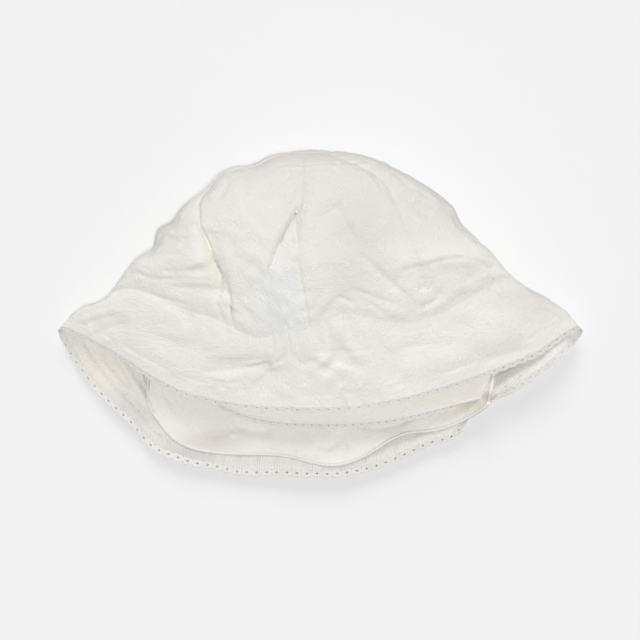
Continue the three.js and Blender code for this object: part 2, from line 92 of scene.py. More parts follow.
underRings = [  # the straighter layer inside, seam to rolled edge
    (0.0, -111.0, 8.3, 102.3, 15.4, 21, -13.2, 35.5, -33.9, 3, 3, 0, 2.0),
    (0.5, -102.4, -14.4, 97.5, -15.5, 13, -39.6, 26.5, -56.3, 3, 6, 6, 2.2),
    (1.0, -95.0, -42.6, 91.2, -47.0, 10, -59.4, 19, -76.4, 4.6, 16, 12, 2.8),
]

foldColumns = ("fromX", "fromY", "midX", "midY", "toX", "toY", "width", "rise", "lip", "pinch")
broadFolds = [  # the folds that the solids have too
    (-9.5, 68.5, -11, 51.5, -27, 21, 4.5, -1.2, 0, 0),  # centre crease
    (-5, 57.5, -8, 45, -15.5, 27, 5, 1.0, 0, 0),  # its lip
    (-62, 45, -56.5, 29.5, -53, 7, 4.5, -1.6, 0, 0),  # loop beside the left seam
    (-71.5, 48.5, -67.5, 35.5, -64, 24, 9, 1.4, 0, 0),  # left bulge
    (37.5, 60, 47, 45, 53.5, 31.5, 5, 0.9, 0, 0),  # ridge beside the right seam
    (43, 27, 66, 33.5, 92.5, 27, 5, 0.8, 0, 0),  # overhanging fold
    (46, 19.5, 68.5, 24, 88.5, 21, 4.5, -0.4, 0, 0),  # hollow under it
    (54.5, 19.5, 55, 15.5, 56, 11.5, 4.5, -0.5, 0, 0),
    (64.5, 12.5, 60, 5, 52.5, 1, 4.5, -0.5, 0, 0),
    (4.5, 61, 13, 36.5, 47, 8, 9, -1.5, 0, 0),  # long diagonal
    (8, 8.5, 16.5, 8.5, 37.5, 5.5, 4.5, -0.4, 0, 0),
    (-85, 22.5, -72.5, 21, -60, 22.5, 4.5, -0.6, 0, 0),
    (-81, 14.5, -68.5, 12, -56.5, 13, 4.5, -0.6, 0, 0),
    (-40, 27, -30, 21, -32, 7, 4.5, -0.6, 0, 0),
    (34, 68.5, 48, 62, 61, 58, 6, -1.0, 0, 0),
    (-65.5, -31, -38, -24, -27, -29, 4.5, -0.8, 0, 0),  # left brim wrinkle
    (-26, -29, -26, -37.5, -39, -39.5, 4.5, -0.6, 0, 0),
    (82.5, -26, 97.5, -20.5, 112.5, -18, 6, -1.0, 0, 0),
    (-126.5, -7, -116, -4.5, -103, -9, 6, -1.0, 0, 0),
    (-107, -14.5, -78, -28, -46, -35.5, 8, 0.8, 0, 0),
    (37, -30.5, 69, -28, 98, -15.5, 9, 0.8, 0, 0),
]
fineFolds = [  # sharper creases of the cloth itself
    (-9.5, 82.5, -9, 70, -10.5, 57.5, 1.2, -0.6, 0.8, 0.5),  # top of the centre crease
    (-10.5, 57, -17.5, 47.5, -22.5, 34.5, 1.2, -7.0, 2.0, 2.4),  # its deep middle
    (-22.5, 35, -26, 26, -28, 14, 1.5, -2.0, 0.9, 0.6),
    (-16, 44.5, -12.5, 27.5, -7, -4.5, 1.0, -0.9, 0.5, 0.4),  # centre seam below the crease
    (-64, 64, -65, 54, -64, 46.5, 1.1, -2.6, 1.3, 1.0),  # left seam
    (-64, 46.5, -60, 39, -56, 27.5, 1.1, -3.0, 1.6, 1.2),
    (-56, 27.5, -50.5, 16.5, -56, 7, 1.5, -4.6, 1.6, 1.4),  # its loop
    (-50, 18, -47.5, 7, -47.5, -3, 1.0, -2.4, 1.2, 1.0),
    (-56, 7, -53.5, 0.5, -51, -4.5, 1.2, -0.9, 0.5, 0.4),
    (-85.5, 22.5, -72.5, 24, -60, 22.5, 1.3, -0.45, 0.3, 0.2),  # creases beside the left seam
    (-86, 19, -70, 19.5, -57.5, 18, 1.0, -0.45, 0.3, 0.2),
    (-81, 14, -70, 14.5, -57, 14, 1.2, -0.4, 0.3, 0.2),
    (-99.5, 23, -90.5, 18, -80, 18.5, 1.4, -0.6, 0.4, 0.3),
    (-91.5, 11, -82, 8, -71.5, 5, 1.3, -0.8, 0.6, 0.3),
    (-86, 43.5, -79.5, 38.5, -70, 40, 1.8, -0.8, 0.5, 0.2),
    (-91.5, 34, -83.5, 30, -74.5, 33, 1.6, -0.8, 0.5, 0.2),
    (-31.5, 16, -39, 15.5, -40, 6, 1.4, -0.8, 0.4, 0.3),  # curl in the cool panel
    (42, 23, 48.5, 25, 54.5, 26, 1.6, -1.0, 0.9, 0.4),  # under the overhanging fold
    (55, 26, 66, 30, 77, 30.5, 1.6, -1.0, 0.8, 0.4),
    (77.5, 30.5, 86, 27.5, 93, 24, 1.5, -0.8, 0.5, 0.3),
    (54.5, 21.5, 54, 16, 56.5, 11.5, 1.3, -0.9, 0.4, 0.3),
    (64.5, 12.5, 62, 6, 53.5, 2, 1.4, -1.0, 0.5, 0.3),
    (8, 59.5, 14, 48.5, 19, 33.5, 2.2, -1.1, 0.6, 0.2),  # long diagonal
    (19, 33.5, 30, 24, 47, 8.5, 2.0, -1.0, 0.6, 0.2),
    (8.5, 9, 13.5, 8, 18, 4.5, 1.2, -1.0, 0.5, 0.3),
    (16, 12.5, 28, 11, 39, 5, 1.4, -0.8, 0.4, 0.3),
    (25.5, 5.5, 30, 4, 34, 0, 1.2, -0.8, 0.5, 0.3),
    (93.5, 18, 92, 14, 92.5, 9.5, 1.2, -0.9, 0.4, 0.3),
    (4, -26, 3, -38.5, 4, -49, 1.0, -0.6, 0.3, 0.1),  # joins in the brim
    (15, -26.5, 15.5, -32.5, 16, -39.5, 0.9, -0.4, 0.2, 0.1),
    (-65, -30.5, -50, -32, -29.5, -26.5, 1.3, -0.6, 0.4, 0.2),  # left brim wrinkle
    (-29.5, -26.5, -21, -30.5, -38, -39.5, 1.3, -0.6, 0.4, 0.2),
    (-62, -35, -53, -38, -43.5, -36, 1.2, -0.7, 0.5, 0.3),
    (84.5, -25.5, 99.5, -21.5, 114, -18, 2.2, -1.2, 0.6, 0.2),
    (-138.5, -5, -128, 1, -115.5, 4.5, 1.6, -1.0, 0.7, 0.3),  # left end of the brim
    (-135, -9.5, -124.5, -3, -110, 0, 1.4, -0.9, 0.6, 0.3),
    (-128, -13, -116.5, -7, -104.5, -5, 1.4, -0.7, 0.5, 0.2),
    (34, 70, 41, 66, 48.5, 68, 1.4, -1.0, 0.6, 0.3),  # crumples near the top
    (38, 60, 46.5, 62.5, 55.5, 60, 1.4, -0.9, 0.6, 0.3),
    (27, 76.5, 32, 69, 33.5, 61.5, 1.2, -0.8, 0.5, 0.3),
    (51.5, 53.5, 58, 53, 65.5, 48, 1.4, -0.8, 0.5, 0.3),
    (-47.5, 71, -50.5, 65.5, -53.5, 60, 2.0, -1.4, 0.5, 0.3),
    (-43, 76, -38, 68.5, -40, 60, 1.6, -0.7, 0.5, 0.2),
    (108, 12.5, 113.5, 7.5, 112, -1, 1.6, -0.8, 0.5, 0.2),
    (119, 4.5, 124.5, -1, 133, -4.5, 1.6, -0.7, 0.5, 0.2),
    (-8, -20, 10, -21, 30, -18.5, 0.9, -0.8, 0.4, 0.2),  # stitched line across the brim
]

waveColumns = ("angle", "spread", "moveX", "moveY", "moveZ")
seamWaveColumns = ("place", "spread", "moveY")
seamWaves = [  # where the crown sags over the head seam or rides up
    (3.50, 0.25, 5.5), (3.12, 0.14, 2.5), (2.80, 0.22, -4.0), (1.66, 0.30, 8.5), (1.00, 0.25, -4.5),
]
backFolds = [  # pleats inside the back of the brim
    (-130, -17, -118, -34, -98, -56, 1.4, -1.6, 0.8, 0.3),
    (-121, -21, -112, -34, -104, -42, 1.2, -1.2, 0.6, 0.3),
    (-113, -22, -104, -36, -95, -52, 1.8, 1.2, 0.5, 0.2),
    (-98, -56, -90, -66, -80, -73, 1.3, -1.0, 0.6, 0.3),
    (84, -52, 96, -44, 112, -32, 1.4, -1.2, 0.6, 0.3),
    (52, -66, 66, -60, 82, -52, 1.4, -1.2, 0.6, 0.3),
]

edgeColumns = ("atX", "atY", "size", "moveX", "moveY")
edgeMoves = [  # bumps and dents of the outline as it lies
    (-93, 36.5, 7, 1.9, -1.8), (-80.5, 50.5, 6, 1.2, -1.4),
    (-52, 74, 9, -1.2, 2.0), (-36, 83, 7, 0.4, -1.6),
    (77.5, 49.5, 8, -1.3, -1.4), (87, 40, 6, -0.6, -0.8), (126, 8, 14, 0, -2.2),
    (-92, -70, 12, -1.5, -3.2), (-70, -80, 13, 0, -2.2), (-45, -84, 14, 0, -2.4),
    (72, -64, 11, 2.0, -4.2), (122, -26, 12, 1.0, -1.0), (5, -88, 30, 0, -1.0),
]
brimWaves = [  # the hem's waves, by their angle round the hat
    (237, 8, -2, -2, 2.5), (215, 12, 0, 0, 3.5), (268, 9, 0, 1, 2.5), (308, 8, -2, 2, 4),
    (318, 6, 2, -1, 4), (112, 10, 0, 0, -2), (80, 14, 0, 0, 2), (48, 9, 0, 0, -1.5),
    (38, 15, 0, -3.2, -1), (149, 12, 0, 0, -2), (331, 17, 0, 0, 15),
    (125, 11, 0, -4, 0), (112, 14, 0, -3.4, 0),
]
underWaves = [  # the inner layer's waves
    (275, 14, 0, -6, 4), (228, 14, -2, -1, 1.6), (298, 10, 0, 5, 2.4), (345, 26, 0, 0, 11),
    (141, 22, 0, 22, 4.5), (187, 22, 0, 0, -3.5),
]


def columnAt(table, names, name, along):
    # one column of a ring table along the cloth, by a smooth curve through its rows
    xs = np.array([row[names.index("along")] for row in table], float)
    ys = np.array([row[names.index(name)] for row in table], float)
    rise = np.diff(ys) / np.diff(xs)
    slope = np.empty_like(ys)
    slope[0], slope[-1] = rise[0], rise[-1]
    step = np.diff(xs)
    slope[1:-1] = (rise[:-1] * step[1:] + rise[1:] * step[:-1]) / (step[1:] + step[:-1])
    i = np.clip(np.searchsorted(xs, along, side="right") - 1, 0, len(xs) - 2)
    t = (along - xs[i]) / step[i]
    return ((2 * t**3 - 3 * t**2 + 1) * ys[i] + (t**3 - 2 * t**2 + t) * step[i] * slope[i]
            + (3 * t**2 - 2 * t**3) * ys[i + 1] + (t**3 - t**2) * step[i] * slope[i + 1])


def ringAt(table, names, along):
    ring = {name: columnAt(table, names, name, along) for name in names if name != "along"}
    for missing, value in (("squareness", 2.0), ("frontLean", 0.0), ("tipOpen", 0.0)):
        ring.setdefault(missing, np.full_like(along, value))
    return ring


def ringPoint(ring, angle):
    # 0 at the ring's right end, a quarter turn over the upper half
    power = ring["squareness"]
    reach = (np.abs(np.cos(angle))**power + np.abs(np.sin(angle))**power)**(1 / power)
    across, up = np.cos(angle) / reach, np.sin(angle) / reach
    bend = up * up
    sideY = (ring["leftY"] + ring["rightY"]) / 2 + (ring["rightY"] - ring["leftY"]) / 2 * across
    middleY = (ring["frontY"] + ring["backY"] - ring["leftY"] - ring["rightY"]) / 2
    lean = np.where(up < 0, ring["lean"], ring["frontLean"]) * across * np.abs(across) * bend
    x = (ring["leftX"] + ring["rightX"]) / 2 + (ring["rightX"] - ring["leftX"]) / 2 * across
    y = sideY + (ring["frontY"] - ring["backY"]) / 2 * up + middleY * bend + lean
    z = (ring["sideZ"] + (ring["frontZ"] - ring["backZ"]) / 2 * up
         + ((ring["frontZ"] + ring["backZ"]) / 2 - ring["sideZ"]) * bend
         + ring["tipOpen"] * np.tanh(up / hat["tipSharpness"]) * (1 - bend))
    return np.stack([x, y, z], -1)


def seamAngle(ring, place):
    # the angle on a ring for a place round the hat counted in panels
    flat = np.zeros_like(place)
    angles = [flat, flat + ring["seamA"], flat + ring["seamB"], flat + ring["seamC"]]
    angles = np.stack(angles + [flat + angle for angle in lowerSeams], -1)
    first = np.floor(place).astype(int)
    t = place - first

    def seam(step):
        turns, index = np.divmod(first + step, hat["panels"])
        return np.take_along_axis(angles, index[..., None], -1)[..., 0] + 360.0 * turns

    a, b, c, d = seam(-1), seam(0), seam(1), seam(2)
    return 0.5 * (2 * b + (c - a) * t + (2 * a - 5 * b + 4 * c - d) * t**2
                  + (3 * b - a - 3 * c + d) * t**3)


def named(columns, rows):
    return [dict(zip(columns, row)) for row in rows]


def smooth(t):
    t = np.clip(t, 0, 1)
    return t * t * (3 - 2 * t)


def bell(x):
    return np.exp(-x * x)


foldShape = {"steps": 33, "reach": 3.2, "endSlope": 6, "endShare": 0.25, "lipSlope": 1.6}


def foldMove(x, y, rows):
    # a fold rises along its path; its lip lifts one side of the path and drops the other,
    # and its pinch draws both sides in over it
    move = np.zeros(x.shape + (3,))
    steps = np.linspace(0, 1, foldShape["steps"])
    for fold in named(foldColumns, rows):
        reach = foldShape["reach"] * fold["width"]
        xs = (fold["fromX"], fold["midX"], fold["toX"])
        ys = (fold["fromY"], fold["midY"], fold["toY"])
        near = ((x > min(xs) - reach) & (x < max(xs) + reach)
                & (y > min(ys) - reach) & (y < max(ys) + reach))
        px, py = x[near], y[near]
        pathX = (1 - steps)**2 * xs[0] + 2 * steps * (1 - steps) * xs[1] + steps**2 * xs[2]
        pathY = (1 - steps)**2 * ys[0] + 2 * steps * (1 - steps) * ys[1] + steps**2 * ys[2]
        goX = 2 * (1 - steps) * (xs[1] - xs[0]) + 2 * steps * (xs[2] - xs[1])
        goY = 2 * (1 - steps) * (ys[1] - ys[0]) + 2 * steps * (ys[2] - ys[1])
        goLength = np.maximum(np.hypot(goX, goY), 1e-9)
        goX, goY = goX / goLength, goY / goLength
        apart = np.hypot(px[:, None] - pathX, py[:, None] - pathY)
        closest = apart.argmin(1)
        best = apart[np.arange(len(px)), closest]
        leftX, leftY = -goY[closest], goX[closest]
        side = leftX * (px - pathX[closest]) + leftY * (py - pathY[closest])
        side = side / fold["width"]
        shape = bell(best / fold["width"])
        fade = foldShape["endSlope"] * np.minimum(steps, 1 - steps) + foldShape["endShare"]
        fade = np.minimum(1, fade)[closest]
        pull = -fold["pinch"] * foldShape["lipSlope"] * side * shape * fade
        rise = fold["rise"] + foldShape["lipSlope"] * fold["lip"] * side
        move[near] += np.stack([pull * leftX, pull * leftY, shape * fade * rise], -1)
    return move


def waveMove(rows, degrees, share):
    move = np.zeros(degrees.shape + (3,))
    for wave in named(waveColumns, rows):
        apart = ((degrees - wave["angle"] + 540) % 360 - 180) / wave["spread"]
        amount = bell(apart) * share * share
        move += amount[..., None] * np.array([wave["moveX"], wave["moveY"], wave["moveZ"]])
    return move


def edgeMove(x, y):
    move = np.zeros(x.shape + (2,))
    for bump in named(edgeColumns, edgeMoves):
        amount = np.exp(-((x - bump["atX"])**2 + (y - bump["atY"])**2) / bump["size"]**2)
        move += amount[..., None] * np.array([bump["moveX"], bump["moveY"]])
    return move


def hatSurface(place, along):
    ring = ringAt(hatRings, ringColumns, along)
    degrees = seamAngle(ring, place)
    point = ringPoint(ring, np.radians(degrees))
    upper = np.clip(np.sin(np.radians(degrees)) * hat["upperSlope"], 0, 1)
    nearSeam = bell((along - headSeam) / hat["sagReach"])
    for wave in named(seamWaveColumns, seamWaves):
        apart = (place - wave["place"]) / wave["spread"]
        ride = upper * nearSeam * wave["moveY"] * bell(apart)
        point[..., 1] += ride
        point[..., 2] += ride * hat["seamSlope"]
    inPanel = place - np.floor(place)
    full = smooth(along / hat["puffFrom"]) * smooth((1 - along) / hat["puffTo"])
    puff = hat["panelPuff"] * np.sin(np.pi * inPanel) - hat["seamPinch"] * 0.5
    point[..., 2] += np.where(along <= headSeam, upper * full * puff, 0)
    point[..., 2] -= upper * hat["seamPinch"] * bell((along - headSeam) / hat["pinchReach"])
    point += upper[..., None] * foldMove(point[..., 0], point[..., 1], broadFolds)
    point += waveMove(brimWaves, degrees, np.clip(along - headSeam, 0, 1))
    point[..., :2] += edgeMove(point[..., 0], point[..., 1])
    point[..., 2] = np.maximum(point[..., 2], 0)
    return point, upper


def underSurface(place, along):
    degrees = place * 360 / hat["panels"]
    point = ringPoint(ringAt(underRings, underColumns, along), np.radians(degrees))
    return point + waveMove(underWaves, degrees, along)


def gridNormals(grid):
    # outward normals of a grid that closes on itself from column to column
    roundwise = np.roll(grid, -1, 1) - np.roll(grid, 1, 1)
    lengthwise = np.gradient(grid, axis=0)
    normal = np.cross(roundwise, lengthwise)
    return normal / np.maximum(np.linalg.norm(normal, axis=-1, keepdims=True), 1e-9)


crumple = {
    "seed": 7,
    "growth": 0.052,  # how much more cloth there is than the smooth shape needs
    "patchLevel": 0.75, "patchiness": 0.6,  # how unevenly it has grown
    "leastPatch": 0.2, "mostPatch": 1.6,
    "startHeight": 0.8,  # height of the first unevenness, mm
    "startScale": 3.2,  # its grain, in grid steps
    "fineShare": 0.6, "coarseShare": 0.8,  # its grains of half and twice that size
    "steps": 220,
    "stride": 0.28,  # how far the cloth gives way in one step
    "anchor": 0.006,  # how hard the smooth shape holds the cloth
    "holding": 0.5,  # how much harder it does so where the cloth is held
    "evening": 0.08,  # how much a point follows its neighbours
    "cap": 1.1,  # how far a point may move, mm
    # what ties a point to its neighbours: rows down, columns across, stiffness
    "ties": ((0, 1, 0.9), (1, 0, 0.9), (1, 1, 0.4), (1, -1, 0.4),
             (0, 3, 0.35), (3, 0, 0.35), (0, 6, 0.2), (6, 0, 0.2)),
}

seams = {  # valleys and puckers: heights and widths in mm, reaches as shares of the crown's length
    "panelWidth": 60,
    "panelValley": 0.4, "panelValleyWidth": 1.0, "panelValleyFade": 8,
    "leastWidth": 0.05,  # of a panel at the top, as a share
    "headValley": 0.15, "headValleyReach": 0.016,
    "sagValley": 0.2, "sagPlace": 2.85, "sagSpread": 0.45,  # deeper where the crown sags over it
    "grain": 3.0,
    "hemFade": 0.05, "hemHeight": 0.22, "stitchGroove": 0.12, "stitchReach": 0.012,
    "puckerHeight": 0.2, "headPuckerFrom": 0.04, "headPuckerReach": 0.07,
    "panelGrain": 4.0, "panelPuckerWidth": 4.0,
}

holds = {  # how firmly the cloth is held while it crumples, and how far round it
    "topReach": 0.05,
    "headSeam": 0.6, "headReach": 0.012,
    "panelSeam": 0.2, "panelWidth": 1.5,
    "hem": 0.15, "hemReach": 0.2,
}


def smoothNoise(rng, rows, columns, grain):
    # seamless round the columns, about -1 to 1
    coarse = rng.standard_normal((int(rows / grain) + 4, max(8, int(columns / grain))))
    r = np.linspace(0, coarse.shape[0] - 2.001, rows)
    c = np.arange(columns) * coarse.shape[1] / columns
    r0, c0 = np.floor(r).astype(int), np.floor(c).astype(int)
    fr, fc = r - r0, c - c0
    fr, fc = (fr * fr * (3 - 2 * fr))[:, None], (fc * fc * (3 - 2 * fc))[None, :]
    wide = coarse.shape[1]
    a = coarse[r0][:, c0 % wide]
    b = coarse[r0][:, (c0 + 1) % wide]
    d = coarse[r0 + 1][:, c0 % wide]
    e = coarse[r0 + 1][:, (c0 + 1) % wide]
    return a * (1 - fr) * (1 - fc) + b * (1 - fr) * fc + d * fr * (1 - fc) + e * fr * fc


def crumpleCloth(base, settings, hold):
    # grows every rest length and lets the cloth buckle against a soft hold on its place
    rng = np.random.default_rng(settings["seed"])
    rows, columns, _ = base.shape
    normal = gridNormals(base)
    grain = settings["startScale"]
    start = smoothNoise(rng, rows, columns, grain)
    start += settings["fineShare"] * smoothNoise(rng, rows, columns, grain / 2)
    start += settings["coarseShare"] * smoothNoise(rng, rows, columns, grain * 2)
    patchy = settings["patchiness"] * smoothNoise(rng, rows, columns, grain * 3)
    patchy = np.clip(settings["patchLevel"] + patchy, settings["leastPatch"], settings["mostPatch"])
    cloth = base + normal * (start * settings["startHeight"] * (1 - hold))[..., None]
    ties = []
    for down, sideways, stiffness in settings["ties"]:
        other = np.roll(base, -sideways, 1)[down:]
        apart = np.linalg.norm(other - base[:rows - down], axis=-1)
        swell = 1 + settings["growth"] * (patchy * (1 - hold))[:rows - down]
        ties.append((down, sideways, stiffness, apart * swell))
    for _ in range(settings["steps"]):
        push = np.zeros_like(cloth)
        for down, sideways, stiffness, rest in ties:
            away = np.roll(cloth, -sideways, 1)[down:] - cloth[:rows - down]
            length = np.maximum(np.linalg.norm(away, axis=-1), 1e-6)
            pull = (0.5 * stiffness * (1 - rest / length))[..., None] * away
            push[:rows - down] += pull
            push[down:] -= np.roll(pull, sideways, 1)
        cloth += push * settings["stride"]
        cloth += (base - cloth) * (settings["anchor"] + settings["holding"] * hold)[..., None]
        move = cloth - base
        even = 0.5 * (np.roll(move, 1, 1) + np.roll(move, -1, 1)) - move
        even[1:-1] += 0.5 * (move[2:] + move[:-2]) - move[1:-1]
        move += settings["evening"] * even
        size = np.linalg.norm(move, axis=-1, keepdims=True)
        cloth = base + move * np.minimum(1, settings["cap"] / np.maximum(size, 1e-9))
        cloth[..., 2] = np.maximum(cloth[..., 2], 0)
    return cloth


def raised(cloth, height):
    return cloth + gridNormals(cloth) * height[..., None]


def sewSeams(cloth, place, along, nearSeam):
    # every seam lies in a valley, and the hem and the seams gather the cloth in short ripples
    columns = cloth.shape[1]
    crownPart = (along < headSeam).astype(float)
    valley = seams["panelValley"] * bell(nearSeam / seams["panelValleyWidth"])
    valley = valley * crownPart * np.clip(along * seams["panelValleyFade"], 0, 1)
    sag = seams["sagValley"] * bell((place - seams["sagPlace"]) / seams["sagSpread"])
    valley += (seams["headValley"] + sag) * bell((along - headSeam) / seams["headValleyReach"])
    cloth = raised(cloth, -valley)
    rng = np.random.default_rng(crumple["seed"] + 1)
    ripple = smoothNoise(rng, 4, columns, seams["grain"])[1] * seams["hemHeight"]
    hemStart = laceTips - hat["hemWidth"] / hat["brimWidth"]
    cloth = raised(cloth, smooth((along - hemStart) / seams["hemFade"]) * ripple)
    cloth = raised(cloth, -bell((along - hemStart) / seams["stitchReach"]) * seams["stitchGroove"])
    ripple = smoothNoise(rng, 4, columns, seams["grain"])[1] * seams["puckerHeight"]
    atHeadSeam = bell((along - headSeam - seams["headPuckerFrom"]) / seams["headPuckerReach"])
    cloth = raised(cloth, atHeadSeam * ripple)
    ripple = smoothNoise(rng, len(cloth), hat["panels"], seams["panelGrain"])[:, :1]
    atPanelSeam = crownPart * bell(nearSeam / seams["panelPuckerWidth"])
    return raised(cloth, atPanelSeam * (ripple * seams["puckerHeight"]))


def seamHolds(along, nearSeam):
    hold = np.clip(1 - along / holds["topReach"], 0, 1)
    atHeadSeam = holds["headSeam"] * bell((along - headSeam) / holds["headReach"])
    atPanelSeam = holds["panelSeam"] * bell(nearSeam / holds["panelWidth"]) * (along < headSeam)
    inHem = holds["hem"] * (along > laceRoot - holds["hemReach"])
    return np.maximum(np.maximum(hold, atHeadSeam), np.maximum(atPanelSeam, inHem))


def buildHatGrid():
    crown = np.linspace(0, 1, hat["crownRows"] + 1)**hat["crownRowPower"]
    crown = hat["topOfCrown"] + (headSeam - hat["topOfCrown"]) * crown
    brimRow = np.linspace(headSeam, laceRoot, hat["brimRows"] + 1)[1:]
    laceRow = np.linspace(laceRoot, laceTips, hat["laceRows"] + 1)[1:]
    columns = hat["crownColumns"] * hat["panels"]
    place = np.arange(columns) * hat["panels"] / columns
    place, along = np.meshgrid(place, np.concatenate([crown, brimRow, laceRow]))
    base, upper = hatSurface(place, along)
    upper = upper[..., None]
    base += hat["creaseDepth"] * upper * foldMove(base[..., 0], base[..., 1], fineFolds)
    base += (1 - upper) * foldMove(base[..., 0], base[..., 1], backFolds)
    inPanel = place - np.floor(place)
    nearSeam = np.minimum(inPanel, 1 - inPanel) * seams["panelWidth"]
    nearSeam = nearSeam * np.clip(along, seams["leastWidth"], 1)
    base = sewSeams(base, place, along, nearSeam)
    base[..., 2] = np.maximum(base[..., 2], 0)
    return crumpleCloth(base, crumple, seamHolds(along, nearSeam))


def addPiece(name, vertices, faces, uvs, marks=None):
    mesh = bpy.data.meshes.new(name)
    mesh.from_pydata((vertices * mm).tolist(), [], faces)
    layer = mesh.uv_layers.new(name="cloth")
    loops = np.empty(len(mesh.loops), int)
    mesh.loops.foreach_get("vertex_index", loops)
    layer.data.foreach_set("uv", (uvs[loops] * mm).ravel())
    for markName, values in (marks or {}).items():
        attribute = mesh.attributes.new(name=markName, type="FLOAT", domain="POINT")
        attribute.data.foreach_set("value", np.asarray(values, float).ravel())
    mesh.update()
    mesh.shade_smooth()
    mesh.set_sharp_from_angle(angle=math.radians(hat["sharpAngle"]))
    piece = bpy.data.objects.new(name, mesh)
    bpy.context.scene.collection.objects.link(piece)
    return piece


def shellPiece(name, outer, inner, uvs, closed, marks=None):
    # a closed shell between two grids of the same size
    rows, columns, _ = outer.shape
    layer = rows * columns
    index = np.arange(layer).reshape(rows, columns)
    if closed:
        index = np.concatenate([index, index[:, :1]], 1)
    edges = [(index[0], True), (index[-1], False)]
    if not closed:
        edges += [(index[:, 0], False), (index[:, -1], True)]
    a, b, d, e = index[:-1, :-1], index[:-1, 1:], index[1:, :-1], index[1:, 1:]
    faces = [np.stack([a, b, e, d], -1).reshape(-1, 4)]
    faces.append(np.stack([a, d, e, b], -1).reshape(-1, 4) + layer)
    for line, inwards in edges:
        start, end = line[:-1], line[1:]
        corners = [start, end, end + layer, start + layer]
        if inwards:
            corners = [start, start + layer, end + layer, end]
        faces.append(np.stack(corners, 1))
    vertices = np.concatenate([outer.reshape(-1, 3), inner.reshape(-1, 3)])
    uvs = np.concatenate([uvs.reshape(-1, 2)] * 2)
    return addPiece(name, vertices, np.concatenate(faces).tolist(), uvs, marks)


def lengthsOf(grid, axis):
    step = np.linalg.norm(np.diff(grid, axis=axis), axis=-1)
    pad = [(0, 0), (0, 0)]
    pad[axis] = (1, 0)
    return np.pad(np.cumsum(step, axis=axis), pad)


def clothFrom(grid):
    # a cloth's grid with what the trims need to lie on it
    columnStep = np.linalg.norm(np.roll(grid, -1, 1) - grid, axis=-1)
    rowStep = np.linalg.norm(np.gradient(grid, axis=0), axis=-1)
    return {"grid": grid, "normals": gridNormals(grid), "columnStep": columnStep,
            "rowStep": rowStep, "down": lengthsOf(grid, 0)}


def onCloth(cloth, row, column, lift):
    # points over the cloth at fractional rows and columns
    rows, columns, _ = cloth["grid"].shape
    row = np.clip(row, 0, rows - 1.001)
    r0 = np.floor(row).astype(int)
    fr = (row - r0)[..., None]
    c0 = np.floor(column).astype(int)
    fc = (column - c0)[..., None]
    c1, c0 = (c0 + 1) % columns, c0 % columns

    def mixed(field):
        return ((field[r0, c0] * (1 - fc) + field[r0, c1] * fc) * (1 - fr)
                + (field[r0 + 1, c0] * (1 - fc) + field[r0 + 1, c1] * fc) * fr)

    return mixed(cloth["grid"]) + mixed(cloth["normals"]) * np.asarray(lift)[..., None]


def ready(piece, slotName, material, *nodes):
    piece.data.materials.append(material)
    if nodes:
        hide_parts(*nodes)
    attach(piece, "root")


def nodeMaterial(name):
    material = bpy.data.materials.new(name)
    material.use_nodes = True
    tree = material.node_tree
    tree.nodes.clear()
    output = tree.nodes.new("ShaderNodeOutputMaterial")
    shader = tree.nodes.new("ShaderNodeBsdfPrincipled")
    tree.links.new(shader.outputs[0], output.inputs[0])
    return material, tree, shader


def addNode(tree, kind, **settings):
    # a setting is a value or another node's output
    node = tree.nodes.new(kind)
    for key, value in settings.items():
        if isinstance(value, bpy.types.NodeSocket):
            tree.links.new(value, node.inputs[key])
        elif key in node.inputs:
            node.inputs[key].default_value = value
        else:
            setattr(node, key, value)
    return node


def mathNode(tree, operation, first, second=None, clamp=False):
    node = tree.nodes.new("ShaderNodeMath")
    node.operation = operation
    node.use_clamp = clamp
    for socket, value in zip(node.inputs, (first, second)):
        if value is None:
            continue
        if isinstance(value, (int, float)):
            socket.default_value = value
        else:
            tree.links.new(value, socket)
    return node.outputs[0]


def mixColours(tree, factor, first, second):
    node = addNode(tree, "ShaderNodeMix", data_type="RGBA")
    tree.links.new(factor, node.inputs["Factor"])
    for name, value in (("A", first), ("B", second)):
        socket = [s for s in node.inputs if s.name == name and s.type == "RGBA"][0]
        if isinstance(value, tuple):
            socket.default_value = (*value, 1)
        else:
            tree.links.new(value, socket)
    return [s for s in node.outputs if s.type == "RGBA"][0]


def vectorNode(tree, operation, first, second=None):
    node = addNode(tree, "ShaderNodeVectorMath", operation=operation)
    tree.links.new(first, node.inputs[0])
    if second is not None:
        node.inputs[1].default_value = second
    return node.outputs


def rangeNode(tree, value, low, high, top=1.0):
    node = addNode(tree, "ShaderNodeMapRange", Value=value)
    node.inputs["From Min"].default_value = low
    node.inputs["From Max"].default_value = high
    node.inputs["To Max"].default_value = top
    return node.outputs["Result"]


def noiseNode(tree, where, scale, detail, **settings):
    node = addNode(tree, "ShaderNodeTexNoise", Vector=where, Scale=scale, Detail=detail, **settings)
    return node.outputs["Fac"]


def stretched(tree, where, scale):
    return addNode(tree, "ShaderNodeMapping", Vector=where, Scale=scale).outputs["Vector"]


